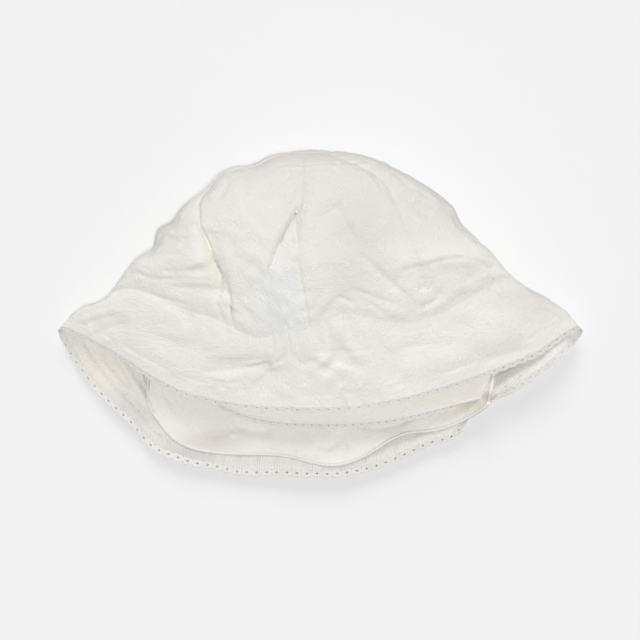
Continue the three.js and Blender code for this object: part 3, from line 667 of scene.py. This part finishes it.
def clothMaterial(name, look):
    material, tree, shader = nodeMaterial(name)
    shader.inputs["Roughness"].default_value = look["roughness"]
    shader.inputs["Specular IOR Level"].default_value = look["specular"]
    shader.inputs["Sheen Weight"].default_value = look["sheen"]
    shader.inputs["Sheen Roughness"].default_value = look["sheenRoughness"]
    through = addNode(tree, "ShaderNodeBsdfTranslucent")
    both = addNode(tree, "ShaderNodeMixShader")
    both.inputs[0].default_value = look["through"]
    tree.links.new(shader.outputs[0], both.inputs[1])
    tree.links.new(through.outputs[0], both.inputs[2])
    tree.links.new(both.outputs[0], tree.nodes["Material Output"].inputs[0])
    at = addNode(tree, "ShaderNodeTexCoord").outputs["Object"]
    uv = addNode(tree, "ShaderNodeUVMap", uv_map="cloth").outputs["UV"]

    cloudy = noiseNode(tree, at, look["cloudScale"], 4.0)
    cloudy = rangeNode(tree, cloudy, look["cloudFrom"], look["cloudTo"])
    colour = mixColours(tree, cloudy, look["dark"], look["light"])
    moved = vectorNode(tree, "ADD", at, look["blushMoved"])[0]
    blush = noiseNode(tree, moved, look["blushScale"], 5.0, Roughness=0.6)
    blush = rangeNode(tree, blush, look["blushFrom"], look["blushTo"], look["blushAmount"])
    colour = mixColours(tree, blush, colour, look["rosy"])

    # slubs: threads a little thicker or thinner along and across the cloth
    slubs = [noiseNode(tree, stretched(tree, uv, scale), 1.0, 2.0) for scale in look["slubScales"]]
    slub = mathNode(tree, "ADD", slubs[0], slubs[1])
    thin = mathNode(tree, "SUBTRACT", slub, look["slubFrom"], True)
    thin = mathNode(tree, "MULTIPLY", thin, look["slubTone"], True)
    colour = mixColours(tree, thin, colour, look["slubColour"])

    for patch in look["patches"]:
        away = vectorNode(tree, "SUBTRACT", at, patch["at"])[0]
        far = vectorNode(tree, "LENGTH", vectorNode(tree, "DIVIDE", away, patch["size"])[0])["Value"]
        fade = rangeNode(tree, far, 1.0, patch["edge"], patch["strength"])
        colour = mixColours(tree, fade, colour, patch["colour"])

    crinkle = noiseNode(tree, stretched(tree, uv, look["crinkleScale"]), 1.0, 4.0,
                        Roughness=0.6, Distortion=0.6)
    height = mathNode(tree, "ADD", crinkle, mathNode(tree, "MULTIPLY", slub, look["slubHeight"]))
    if "ribPitch" in look:
        # the ripples of the gathered hem, where the cloth is doubled
        inHem = addNode(tree, "ShaderNodeAttribute", attribute_name="hem").outputs["Fac"]
        lengthwise = addNode(tree, "ShaderNodeSeparateXYZ", Vector=uv).outputs["X"]
        turn = mathNode(tree, "MULTIPLY", lengthwise, 2 * math.pi / look["ribPitch"])
        wander = mathNode(tree, "MULTIPLY", crinkle, look["ribWander"])
        rib = mathNode(tree, "SINE", mathNode(tree, "ADD", turn, wander))
        rib = mathNode(tree, "MULTIPLY", rib, inHem)
        height = mathNode(tree, "ADD", height, mathNode(tree, "MULTIPLY", rib, look["ribHeight"]))
        # painted shade: the ripples' grooves are coloured darker
        paintedGrooveShadow = mathNode(tree, "MULTIPLY", rib, -1.0)
        paintedGrooveShadow = mathNode(tree, "MULTIPLY", paintedGrooveShadow, look["ribGrooveShadowStrength"], True)
        colour = mixColours(tree, paintedGrooveShadow, colour, look["ribGrooveShadow"])
        band = addNode(tree, "ShaderNodeAttribute", attribute_name="band").outputs["Fac"]
        band = mathNode(tree, "MULTIPLY", band, look["doubledTone"])
        colour = mixColours(tree, band, colour, look["doubled"])
    tree.links.new(colour, shader.inputs["Base Color"])
    tree.links.new(colour, through.inputs["Color"])
    bump = addNode(tree, "ShaderNodeBump", Height=height, Strength=look["crinkle"],
                   Distance=look["crinkleDepth"])
    weave = noiseNode(tree, at, look["weaveScale"], 2.0)
    bump = addNode(tree, "ShaderNodeBump", Height=weave, Strength=look["weave"],
                   Distance=look["weaveDepth"], Normal=bump.outputs["Normal"])
    tree.links.new(bump.outputs["Normal"], shader.inputs["Normal"])
    return material


def tint(at, size, edge, strength, colour):
    # a soft oval of another colour, for the cloth's own tints and for painted shade: its middle and
    # size in metres, where it is full, how strong
    return {"at": at, "size": size, "edge": edge, "strength": strength, "colour": colour}


clothFeel = {  # what all the cloths share; scales are to the metre
    "roughness": 0.95, "specular": 0.12, "sheen": 0.13, "sheenRoughness": 0.6, "through": 0.22,
    "cloudScale": 34.0, "cloudFrom": 0.32, "cloudTo": 0.68,
    "blushScale": 52.0, "blushFrom": 0.48, "blushTo": 0.70, "blushAmount": 0.6,
    "blushMoved": (0.7, 0.3, 0.1),  # so that it doesn't follow the clouds
    "rosy": (0.935, 0.905, 0.885),
    "slubScales": ((1100, 160, 1), (160, 1100, 1)), "slubFrom": 0.82, "slubHeight": 0.35,
    "slubTone": 0.25, "slubColour": (0.84, 0.82, 0.79),
    "crinkle": 0.75, "crinkleScale": (430, 380, 1), "crinkleDepth": 0.0008,
    "weave": 0.3, "weaveScale": 1500.0, "weaveDepth": 0.0002,
    "patches": (),
}

coolPatch = tint((-0.021, 0.008, 0.055), (0.025, 0.035, 0.05), 0.45, 0.9, (0.925, 0.927, 0.905))
# painted shade of a soft valley on the second crown panel
valleyShadePatch = tint((0.020, 0.048, 0.055), (0.025, 0.036, 0.06), 0.3, 0.75, (0.765, 0.735, 0.70))
# painted shade over the top of the crown, which the lamps light more
crownTopShade = tint((0.0, 0.085, 0.040), (0.13, 0.075, 0.09), 0.25, 0.9, (0.855, 0.823, 0.795))
# painted shade of the dents at the crown's top right
crownRightShade = tint((0.060, 0.061, 0.042), (0.046, 0.030, 0.06), 0.2, 0.8, (0.825, 0.795, 0.765))
# painted shade towards the crown's left edge
crownLeftShade = tint((-0.080, 0.042, 0.030), (0.020, 0.022, 0.05), 0.2, 0.9, (0.83, 0.80, 0.76))
seamPatch = tint((-0.059, 0.034, 0.050), (0.0065, 0.036, 0.05), 0.2, 0.7, (0.925, 0.895, 0.80))
# painted shade at the brim's right end, where the cloth turns away
brimRightEndShade = tint((0.118, 0.010, 0.020), (0.036, 0.017, 0.04), 0.2, 0.85, (0.81, 0.77, 0.74))

# one cotton on every layer, painted darker on the crown and lighter on the brim and inner layer:
# painted shade and painted light that even out how the lamps fall on them
crownLook = {**clothFeel, "dark": (0.939, 0.914, 0.864), "light": (0.960, 0.939, 0.892)}
brimLook = {
    **clothFeel, "dark": (0.948, 0.921, 0.868), "light": (0.968, 0.946, 0.898),
    "crinkleScale": (420, 360, 1),
    "ribPitch": 0.0014, "ribHeight": 0.22, "ribWander": 4.0,
    # painted shade in the hem ripples' grooves
    "ribGrooveShadowStrength": 0.16, "ribGrooveShadow": (0.86, 0.81, 0.76),
    "doubledTone": 0.35, "doubled": (0.985, 0.975, 0.945),
    "patches": (
        # painted shade in the crease under the inner layer's edge, lower left
        tint((-0.070, -0.077, 0.004), (0.038, 0.016, 0.02), 0.2, 0.9, (0.75, 0.705, 0.68)),
        # painted shade inside the hem at the left
        tint((-0.108, -0.056, 0.004), (0.032, 0.022, 0.03), 0.2, 0.85, (0.80, 0.77, 0.745)),
        # darker on the front hem
        tint((0.018, -0.044, 0.030), (0.030, 0.012, 0.02), 0.3, 0.8, (0.85, 0.82, 0.785)),
        # painted shade along the bottom hem, deeper in two spots
        tint((0.0, -0.084, 0.006), (0.09, 0.014, 0.02), 0.3, 0.8, (0.885, 0.845, 0.815)),
        tint((0.008, -0.083, 0.006), (0.022, 0.011, 0.02), 0.3, 0.7, (0.83, 0.79, 0.76)),
        tint((0.064, -0.080, 0.006), (0.016, 0.011, 0.02), 0.3, 0.7, (0.83, 0.79, 0.76)),
        # painted warm shade in the hollow at the left end of the mouth
        tint((-0.118, -0.028, 0.005), (0.03, 0.016, 0.02), 0.3, 0.8, (0.94, 0.90, 0.82)),
        # painted warm shade in the hollow at the right end of the mouth
        tint((0.072, -0.048, 0.004), (0.03, 0.012, 0.02), 0.3, 0.8, (0.94, 0.90, 0.82)),
        brimRightEndShade,
    ),
}
# the inner layer is lightest: painted light, as it lies in the brim's shade
underLook = {
    **clothFeel, "dark": (0.980, 0.955, 0.905), "light": (0.993, 0.975, 0.930),
    "patches": (
        # painted shade where the inner layer's edge rolls down, lower left
        tint((-0.062, -0.070, 0.006), (0.028, 0.011, 0.03), 0.2, 0.8, (0.76, 0.73, 0.68)),
        # painted warm shade at the inner layer's right end, deeper towards the corner
        tint((0.066, -0.050, 0.01), (0.026, 0.013, 0.05), 0.3, 0.85, (0.99, 0.935, 0.86)),
        tint((0.086, -0.048, 0.012), (0.014, 0.010, 0.03), 0.3, 0.7, (0.86, 0.80, 0.72)),
        # painted shadow: a small dark spot in the gap at the right corner
        tint((0.0935, -0.0455, 0.014), (0.006, 0.004, 0.012), 0.3, 0.8, (0.50, 0.45, 0.43)),
        # painted warm shade at the inner layer's left end
        tint((-0.075, -0.052, 0.01), (0.035, 0.022, 0.05), 0.3, 0.7, (0.96, 0.935, 0.865)),
    ),
}
# the lace is darker than the cloth: painted shade, as it lies flatter and catches more light
laceLook = {**clothFeel, "dark": (0.865, 0.838, 0.808), "light": (0.90, 0.878, 0.848),
            "through": 0.2, "crinkleScale": (1200, 1200, 1)}
threadLook = {**clothFeel, "dark": (0.965, 0.95, 0.915), "light": (0.98, 0.968, 0.94),
              "sheen": 0.1, "through": 0.15, "crinkleScale": (1500, 1500, 1),
              # the threads carry the same painted shade, a little lighter
              "patches": ({**brimRightEndShade, "colour": (0.86, 0.83, 0.80)},)}
crownThreadLook = {
    **threadLook, "dark": (0.955, 0.938, 0.90), "light": (0.972, 0.958, 0.925),
    # the crown's flowers carry the crown's painted shade, a little lighter
    "patches": ({**crownTopShade, "colour": (0.89, 0.86, 0.835)},
                {**crownRightShade, "colour": (0.875, 0.85, 0.82)},
                {**valleyShadePatch, "colour": (0.84, 0.81, 0.78)}),
}
crownMaterial = clothMaterial("crinkled crown cotton",
                              {**crownLook, "patches": (crownTopShade, crownRightShade, crownLeftShade, seamPatch)})
coolMaterial = clothMaterial("crinkled crown cotton, cool",
                             {**crownLook, "patches": (coolPatch, crownTopShade, seamPatch)})
valleyShadeMaterial = clothMaterial("crinkled crown cotton, painted valley shade",
                             {**crownLook, "patches": (valleyShadePatch, crownTopShade, crownRightShade)})
brimMaterial = clothMaterial("crinkled brim cotton", brimLook)
underMaterial = clothMaterial("warm inner cotton", underLook)
laceMaterial = clothMaterial("lace cotton", laceLook)
threadMaterial = clothMaterial("embroidery thread", threadLook)
crownThreadMaterial = clothMaterial("crown embroidery thread", crownThreadLook)

studio = {
    "cameraHeight": 1.5,
    "sensorWidth": 36,
    "viewWidth": 0.352,  # what the camera takes in at the floor
    "aimX": -0.00015, "aimY": -0.0035,
    "skyStrength": 0.20, "skyColour": (0.99, 0.995, 1.0),
    "lights": (  # from where, strength, how wide in degrees
        ("overhead light", (0.04, -0.03, 1.0), 2.20, 9),
        ("window light", (-0.12, 0.90, 0.78), 1.10, 38),
        ("fill light", (0.85, -0.70, 0.60), 0.22, 50),
    ),
    "lightColour": (1.0, 0.997, 0.99),
    "floorSize": 6, "floorHeight": -0.0002,  # just under the hat, in metres
    "floorColour": (0.768, 0.770, 0.776),
}


def buildStudio():
    scene = bpy.context.scene
    scene.view_settings.view_transform = "Standard"
    camera = bpy.data.objects.new("camera", bpy.data.cameras.new("camera"))
    camera.location = (studio["aimX"], studio["aimY"], studio["cameraHeight"])
    camera.data.sensor_width = studio["sensorWidth"]
    camera.data.lens = studio["sensorWidth"] * studio["cameraHeight"] / studio["viewWidth"]
    scene.collection.objects.link(camera)
    scene.camera = camera
    world = bpy.data.worlds.new("soft room")
    world.use_nodes = True
    background = world.node_tree.nodes["Background"]
    background.inputs["Color"].default_value = (*studio["skyColour"], 1)
    background.inputs["Strength"].default_value = studio["skyStrength"]
    scene.world = world
    for name, source, strength, wide in studio["lights"]:
        light = bpy.data.objects.new(name, bpy.data.lights.new(name, "SUN"))
        light.data.energy = strength
        light.data.angle = math.radians(wide)
        light.data.color = studio["lightColour"]
        light.rotation_mode = "QUATERNION"
        light.rotation_quaternion = Vector(source).to_track_quat("Z", "Y")
        scene.collection.objects.link(light)
    place = (0, 0, studio["floorHeight"])
    bpy.ops.mesh.primitive_plane_add(size=studio["floorSize"], location=place)
    floor = bpy.context.active_object
    floor.name = "floor"
    material, tree, shader = nodeMaterial("pale floor")
    shader.inputs["Base Color"].default_value = (*studio["floorColour"], 1)
    shader.inputs["Roughness"].default_value = 1.0
    shader.inputs["Specular IOR Level"].default_value = 0.0
    floor.data.materials.append(material)


buildStudio()
print("studio ready")

shift = np.array([hat["centringX"], hat["centringY"], 0])
hatCloth = clothFrom(buildHatGrid() + shift)
roundHem = lengthsOf(hatCloth["grid"][-8:], 1).mean(0)
hatUv = np.stack([np.broadcast_to(roundHem, hatCloth["down"].shape), hatCloth["down"]], -1)
print("hat cloth crumpled")


def buildCrown():
    perPanel = hat["crownColumns"]
    wide = hatCloth["grid"].shape[1]
    rows = slice(0, hat["crownRows"] + 1)
    for panel in range(hat["panels"]):
        picks = np.arange(panel * perPanel, (panel + 1) * perPanel + 1) % wide
        outer = hatCloth["grid"][rows][:, picks]
        down = hatCloth["down"][rows][:, picks]
        wall = np.minimum(hat["crownCloth"], down * hat["topTaper"] + hat["topCloth"])
        inner = outer - hatCloth["normals"][rows][:, picks] * wall[..., None]
        acrossPanel = lengthsOf(outer, 1)
        spread = np.stack([acrossPanel - acrossPanel[:, -1:] / 2 + hat["panelApart"] * panel, down], -1)
        piece = shellPiece(f"crown_cloth_{panel + 1}", outer, inner, spread, False)
        material = {1: valleyShadeMaterial, 2: coolMaterial}.get(panel, crownMaterial)
        ready(piece, "crown_cloth", material, f"crown_panel_{panel + 1}")


lace = {
    "repeats": 120,
    "hemLength": 640,  # mm round the hem, for the weave
    "holeAcross": 0.13, "holeDown": 0.155, "holeCentre": 0.46,  # shares of one repeat
    "points": 20, "firstPoint": 0.1,
    "outlineFrom": 0.05, "outlineStep": 0.004,  # how the outline is found, outwards from the hole
    "closing": 0.4, "closingSlope": 25,  # how far and how soon the upper hem's holes close up
    "rimWidth": 1.7, "rimLift": 0.12, "rimBelow": 0.5,
    "thickness": 0.55,
    "valley": 0.80, "scallop": 0.6,  # depth and roundness of the scallops
    "picot": 0.035, "picots": 4,  # the small loops on each
}

hem = {  # its folded cloth is thicker
    "extra": 0.5, "step": 0.8,
    "taper": 2.5, "edge": 0.15,  # down to a little more than the lace's thickness
    "outsideRibs": 0.1,
}


def buildBrim():
    rows = slice(hat["crownRows"], hat["crownRows"] + hat["brimRows"] + 1)
    outer = hatCloth["grid"][rows]
    down = hatCloth["down"][rows]
    inHem = np.clip((hat["hemWidth"] - (down[-1:] - down)) / hem["step"] + 0.5, 0, 1)
    wall = hat["brimCloth"] + hem["extra"] * inHem
    wall += (lace["thickness"] + hem["edge"] - wall) * smooth(1 - (down[-1:] - down) / hem["taper"])
    inner = outer - hatCloth["normals"][rows] * wall[..., None]
    marks = {"hem": np.concatenate([inHem * hem["outsideRibs"], inHem]),
             "band": np.concatenate([inHem, inHem * 0])}
    piece = shellPiece("brim_cloth", outer, inner, hatUv[rows], True, marks)
    ready(piece, "brim_cloth", brimMaterial, "brim")


def laceRepeat(openness):
    # one repeat of the lace: its hole, the rim round it and its outline
    turns = np.arange(lace["points"]) * 2 * math.pi / lace["points"] + lace["firstPoint"]
    holeS = 0.5 + openness * lace["holeAcross"] * np.cos(turns)
    holeT = lace["holeCentre"] + openness * lace["holeDown"] * np.sin(turns)
    rimS = 0.5 + (holeS - 0.5) * lace["rimWidth"]
    rimT = lace["holeCentre"] + (holeT - lace["holeCentre"]) * lace["rimWidth"]
    outS, outT = [], []
    for turn in turns:
        reach = lace["outlineFrom"]
        while True:
            s = 0.5 + math.cos(turn) * reach
            t = lace["holeCentre"] + math.sin(turn) * reach
            scallop = max(0, math.sin(math.pi * s))**lace["scallop"]
            arch = lace["valley"] + (1 - lace["valley"]) * scallop
            arch += lace["picot"] * math.cos(2 * math.pi * lace["picots"] * s)
            if s <= 0 or s >= 1 or t <= 0 or t >= arch:
                break
            reach += lace["outlineStep"]
        outS.append(min(max(s, 0), 1))
        outT.append(min(max(t, 0), arch))
    return np.concatenate([holeS, rimS, outS]), np.concatenate([holeT, rimT, outT])


def laceMesh(edge, repeats, first=0.0, share=1.0):
    # scalloped lace with a hole in every repeat; edge gives a point for places along and across
    count = lace["points"]
    total = 3 * count
    lift = np.repeat([0, lace["rimLift"], 0], count)
    k = np.arange(count)
    nextK = (k + 1) % count

    def band(start, end):
        return np.stack([k + start, k + end, nextK + end, nextK + start], 1)

    top = np.concatenate([band(0, count), band(count, 2 * count)])
    holeWall = np.stack([k, nextK, nextK + total, k + total], 1)
    cell = np.concatenate([top, top[:, ::-1] + total, holeWall, band(2 * count, 2 * count + total)])
    vertices, faces, uvs = [], [], []
    for repeat in range(repeats):
        middle = first + share * (repeat + 0.5) / repeats
        hanging = smooth(lace["closingSlope"] * min(middle, 0.5 - middle))
        s, t = laceRepeat(1 - lace["closing"] * hanging)
        along = first + share * (repeat + s) / repeats
        both = [edge(along, t, lift), edge(along, t, -lace["thickness"] - lift * lace["rimBelow"])]
        faces.append(cell + len(vertices) * 2 * total)
        vertices.append(np.concatenate(both))
        flat = np.stack([along * lace["hemLength"], t * hat["laceWidth"]], 1)
        uvs.append(np.concatenate([flat, flat]))
    return np.concatenate(vertices), np.concatenate(faces).tolist(), np.concatenate(uvs)


def evenPlaces(points):
    # columns at even lengths along a closed edge
    step = np.linalg.norm(np.roll(points, -1, 0) - points, axis=-1)
    travelled = np.concatenate([[0], np.cumsum(step)])
    return travelled / travelled[-1]


def buildLace():
    first = hat["crownRows"] + hat["brimRows"]
    travelled = evenPlaces(hatCloth["grid"][first])
    columns = len(travelled) - 1

    def edge(along, across, lift):
        column = np.interp(along % 1, travelled, np.arange(columns + 1)) + np.floor(along) * columns
        return onCloth(hatCloth, first + across * hat["laceRows"], column, lift)

    vertices, faces, uvs = laceMesh(edge, lace["repeats"])
    piece = addPiece("lace", vertices, faces, uvs)
    ready(piece, "lace", laceMaterial, "lace_edging")


under = {
    "columns": 440, "rows": 54,
    "hemRadius": 1.0, "edgeSides": 12, "edgeFloor": 0.2, "edgeWeave": 0.6,
    "lowerSlope": 3,  # how fast the lower half's creases fade in from its edges
    "holdReach": 0.04,
    "crumple": {"growth": 0.03, "seed": 11, "cap": 1.6},
    "laceRepeats": 38, "laceStart": 0.05, "laceShare": 0.40,
    "laceTilt": 0.1, "laceTucked": 0.1, "laceStretch": 1.1,
}
underFolds = [  # creases of the inner layer's lower half
    (-65, -66, -55, -66.5, -48, -63, 2.2, -1.6, 0.4, 0.3),
    (-30, -74.5, -12, -76, 2, -77, 1.6, -0.8, 0.5, 0.2),
    (-2, -70, 3, -76, 9, -69, 2.0, -1.2, 0.6, 0.2),
    (9, -64, 13, -70, 15, -74, 2.0, -0.9, 0.5, 0.2),
    (-46, -60, -36, -66, -27, -63, 3.0, -1.2, 0.4, 0.2),
    (-86, -40, -80, -52, -70, -60, 3.0, -1.0, 0.4, 0.2),
    (20, -60, 36, -66, 50, -56, 2.0, -1.0, 0.5, 0.2),
    (30, -54, 48, -58, 66, -50, 2.0, -1.0, 0.5, 0.2),
]


def buildUnder():
    columns, rows = under["columns"], under["rows"]
    place = np.arange(columns) * hat["panels"] / columns
    place, along = np.meshgrid(place, np.linspace(0, 1, rows + 1))
    base = underSurface(place, along)
    panelTurn = 360 / hat["panels"]
    lower = np.clip(-np.sin(np.radians(place * panelTurn)) * under["lowerSlope"], 0, 1)
    base += lower[..., None] * foldMove(base[..., 0], base[..., 1], underFolds)
    hold = np.clip(1 - along / under["holdReach"], 0, 1)
    grid = crumpleCloth(base, {**crumple, **under["crumple"]}, hold) + shift
    cloth = clothFrom(grid)
    inner = grid - cloth["normals"] * hat["underCloth"]
    roundEdge = np.broadcast_to(lengthsOf(grid[-8:], 1).mean(0), cloth["down"].shape)
    spread = np.stack([roundEdge, cloth["down"]], -1)
    piece = shellPiece("under_brim_cloth", grid, inner, spread, True)
    ready(piece, "under_brim_cloth", underMaterial, "under_brim")

    # the rolled edge
    centre = grid[-1] - cloth["normals"][-1] * hat["underCloth"] / 2
    outward = grid[-1] - grid[-3]
    outward /= np.linalg.norm(outward, axis=-1, keepdims=True)
    sides = under["edgeSides"]
    turns = (np.arange(sides) * 2 * math.pi / sides)[None, :, None]
    ring = (centre[:, None] + under["hemRadius"] * (outward[:, None] * np.cos(turns)
            + cloth["normals"][-1][:, None] * np.sin(turns)))
    ring[..., 2] = np.maximum(ring[..., 2], under["edgeFloor"])
    c, k = np.meshgrid(np.arange(columns) * sides, np.arange(sides), indexing="ij")
    nextC, nextK = (c + sides) % (columns * sides), (k + 1) % sides
    faces = np.stack([c + k, nextC + k, nextC + nextK, c + nextK], -1)
    roundRoll = np.tile(np.arange(sides) * under["edgeWeave"], columns)
    uvs = np.stack([np.repeat(spread[-1, :, 0], sides), roundRoll], 1)
    rolled = addPiece("under_brim_rolled_edge", ring.reshape(-1, 3), faces.reshape(-1, 4).tolist(), uvs)
    ready(rolled, "under_brim_cloth", threadMaterial)

    # lace along the front of it
    travelled = evenPlaces(grid[-1])
    outward = outward + cloth["normals"][-1] * under["laceTilt"]

    def edge(along, across, lift):
        column = np.interp(along % 1, travelled, np.arange(columns + 1))
        at = onCloth(cloth, np.full(column.shape, float(rows)), column, lift)
        c0 = np.floor(column).astype(int) % columns
        out = (across - under["laceTucked"]) * hat["laceWidth"] * under["laceStretch"]
        return at + outward[c0] * out[..., None]

    vertices, faces, uvs = laceMesh(edge, under["laceRepeats"], under["laceStart"], under["laceShare"])
    trim = addPiece("under_brim_lace", vertices, faces, uvs)
    ready(trim, "under_brim_cloth", laceMaterial)
    return cloth


flower = {
    "petals": 6, "reach": 1.25, "length": 0.95, "width": 0.7,
    "knot": 0.42, "rimSides": 8,
    "lift": 0.42, "sunk": -0.05, "innerLift": 0.35,
    "spacing": 14.5, "rowShare": 0.87,  # apart along a row, and the rows as a share of that
    "crownFrom": 7, "crownTo": 120, "topMargin": 8,  # mm up from the head seam
    "brimRows": (8, 21, 34), "innerRows": (8, 20, 32, 43),  # mm down from it
    "seamMargin": 2.5,
    "seed": 3, "astray": 0.12, "innerAstray": 0.1, "crownAstray": 1.2,
}


def flowersOn(cloth, centres, lift):
    # small embroidered flowers: a ring of raised petals round a knot
    vertices, faces, uvs = [], [], []
    sides = flower["rimSides"]
    rimTurns = np.arange(sides) * 2 * math.pi / sides
    for row, column, turn in centres:
        r, c = int(row), int(column) % cloth["grid"].shape[1]
        perRow = max(cloth["rowStep"][r, c], 0.2)
        perColumn = max(cloth["columnStep"][r, c], 0.2)
        petals = [(turn + k * 2 * math.pi / flower["petals"], flower["reach"], flower["length"],
                   flower["width"]) for k in range(flower["petals"])]
        petals.append((turn, 0.0, flower["knot"], flower["knot"]))
        for angle, reach, length, width in petals:
            out = reach + length * np.cos(rimTurns)
            side = width * np.sin(rimTurns)
            x = np.append(out * math.cos(angle) - side * math.sin(angle), reach * math.cos(angle))
            y = np.append(out * math.sin(angle) + side * math.cos(angle), reach * math.sin(angle))
            up = np.append(np.full(sides, lift[0]), lift[1])
            at = len(vertices) * (sides + 1)
            vertices.append(onCloth(cloth, row + y / perRow, column + x / perColumn, up))
            faces.extend([[at + k, at + (k + 1) % sides, at + sides] for k in range(sides)])
            uvs.append(np.stack([x, y], 1))
    return np.concatenate(vertices), faces, np.concatenate(uvs)


def flowerRow(cloth, row, band, astray, rng):
    # the places of the flowers on one row of the cloth, in every other row half a step on
    number = int(cloth["columnStep"][int(row)].sum() / flower["spacing"])
    for k in range(number):
        step = k + 0.5 * (band % 2) + astray * rng.standard_normal()
        yield step * cloth["grid"].shape[1] / number


def buildFlowers(underCloth):
    rng = np.random.default_rng(flower["seed"])
    crown, brim, inner = [], [], []
    down = hatCloth["down"].mean(1)
    rowNumbers = np.arange(len(down))
    seamAt = down[hat["crownRows"]]
    steps = np.arange(flower["crownFrom"], flower["crownTo"], flower["spacing"] * flower["rowShare"])
    for band, step in enumerate(steps):
        if seamAt - step < flower["topMargin"]:
            break
        row = np.interp(seamAt - step, down, rowNumbers)
        panelWidth = hatCloth["columnStep"][int(row)].sum() / hat["panels"]
        for column in flowerRow(hatCloth, row, band, flower["astray"], rng):
            strayRow = row + flower["crownAstray"] * rng.standard_normal()
            inPanel = column / hat["crownColumns"] % 1
            if min(inPanel, 1 - inPanel) * panelWidth > flower["seamMargin"]:
                crown.append((strayRow, column, rng.uniform(0, 6)))
    for band, step in enumerate(flower["brimRows"]):
        row = np.interp(seamAt + step, down, rowNumbers)
        for column in flowerRow(hatCloth, row, band, flower["astray"], rng):
            brim.append((row + rng.standard_normal(), column, rng.uniform(0, 6)))
    down = underCloth["down"].mean(1)
    for band, step in enumerate(flower["innerRows"]):
        row = np.interp(step, down, np.arange(len(down)))
        for column in flowerRow(underCloth, row, band, flower["innerAstray"], rng):
            inner.append((row, column, rng.uniform(0, 6)))
    lift = (flower["sunk"], flower["lift"])
    piece = addPiece("crown_flowers", *flowersOn(hatCloth, crown, lift))
    ready(piece, "crown_cloth", crownThreadMaterial)
    piece = addPiece("brim_flowers", *flowersOn(hatCloth, brim, lift))
    ready(piece, "brim_cloth", threadMaterial)
    lift = (-hat["underCloth"] - flower["sunk"], -hat["underCloth"] - flower["innerLift"])
    vertices, faces, uvs = flowersOn(underCloth, inner, lift)
    piece = addPiece("inner_flowers", vertices, [face[::-1] for face in faces], uvs)
    ready(piece, "under_brim_cloth", threadMaterial)


buildCrown()
buildBrim()
print("crown and brim built")
buildLace()
print("lace built")
underCloth = buildUnder()
print("inner layer built")
buildFlowers(underCloth)
print("flowers built")
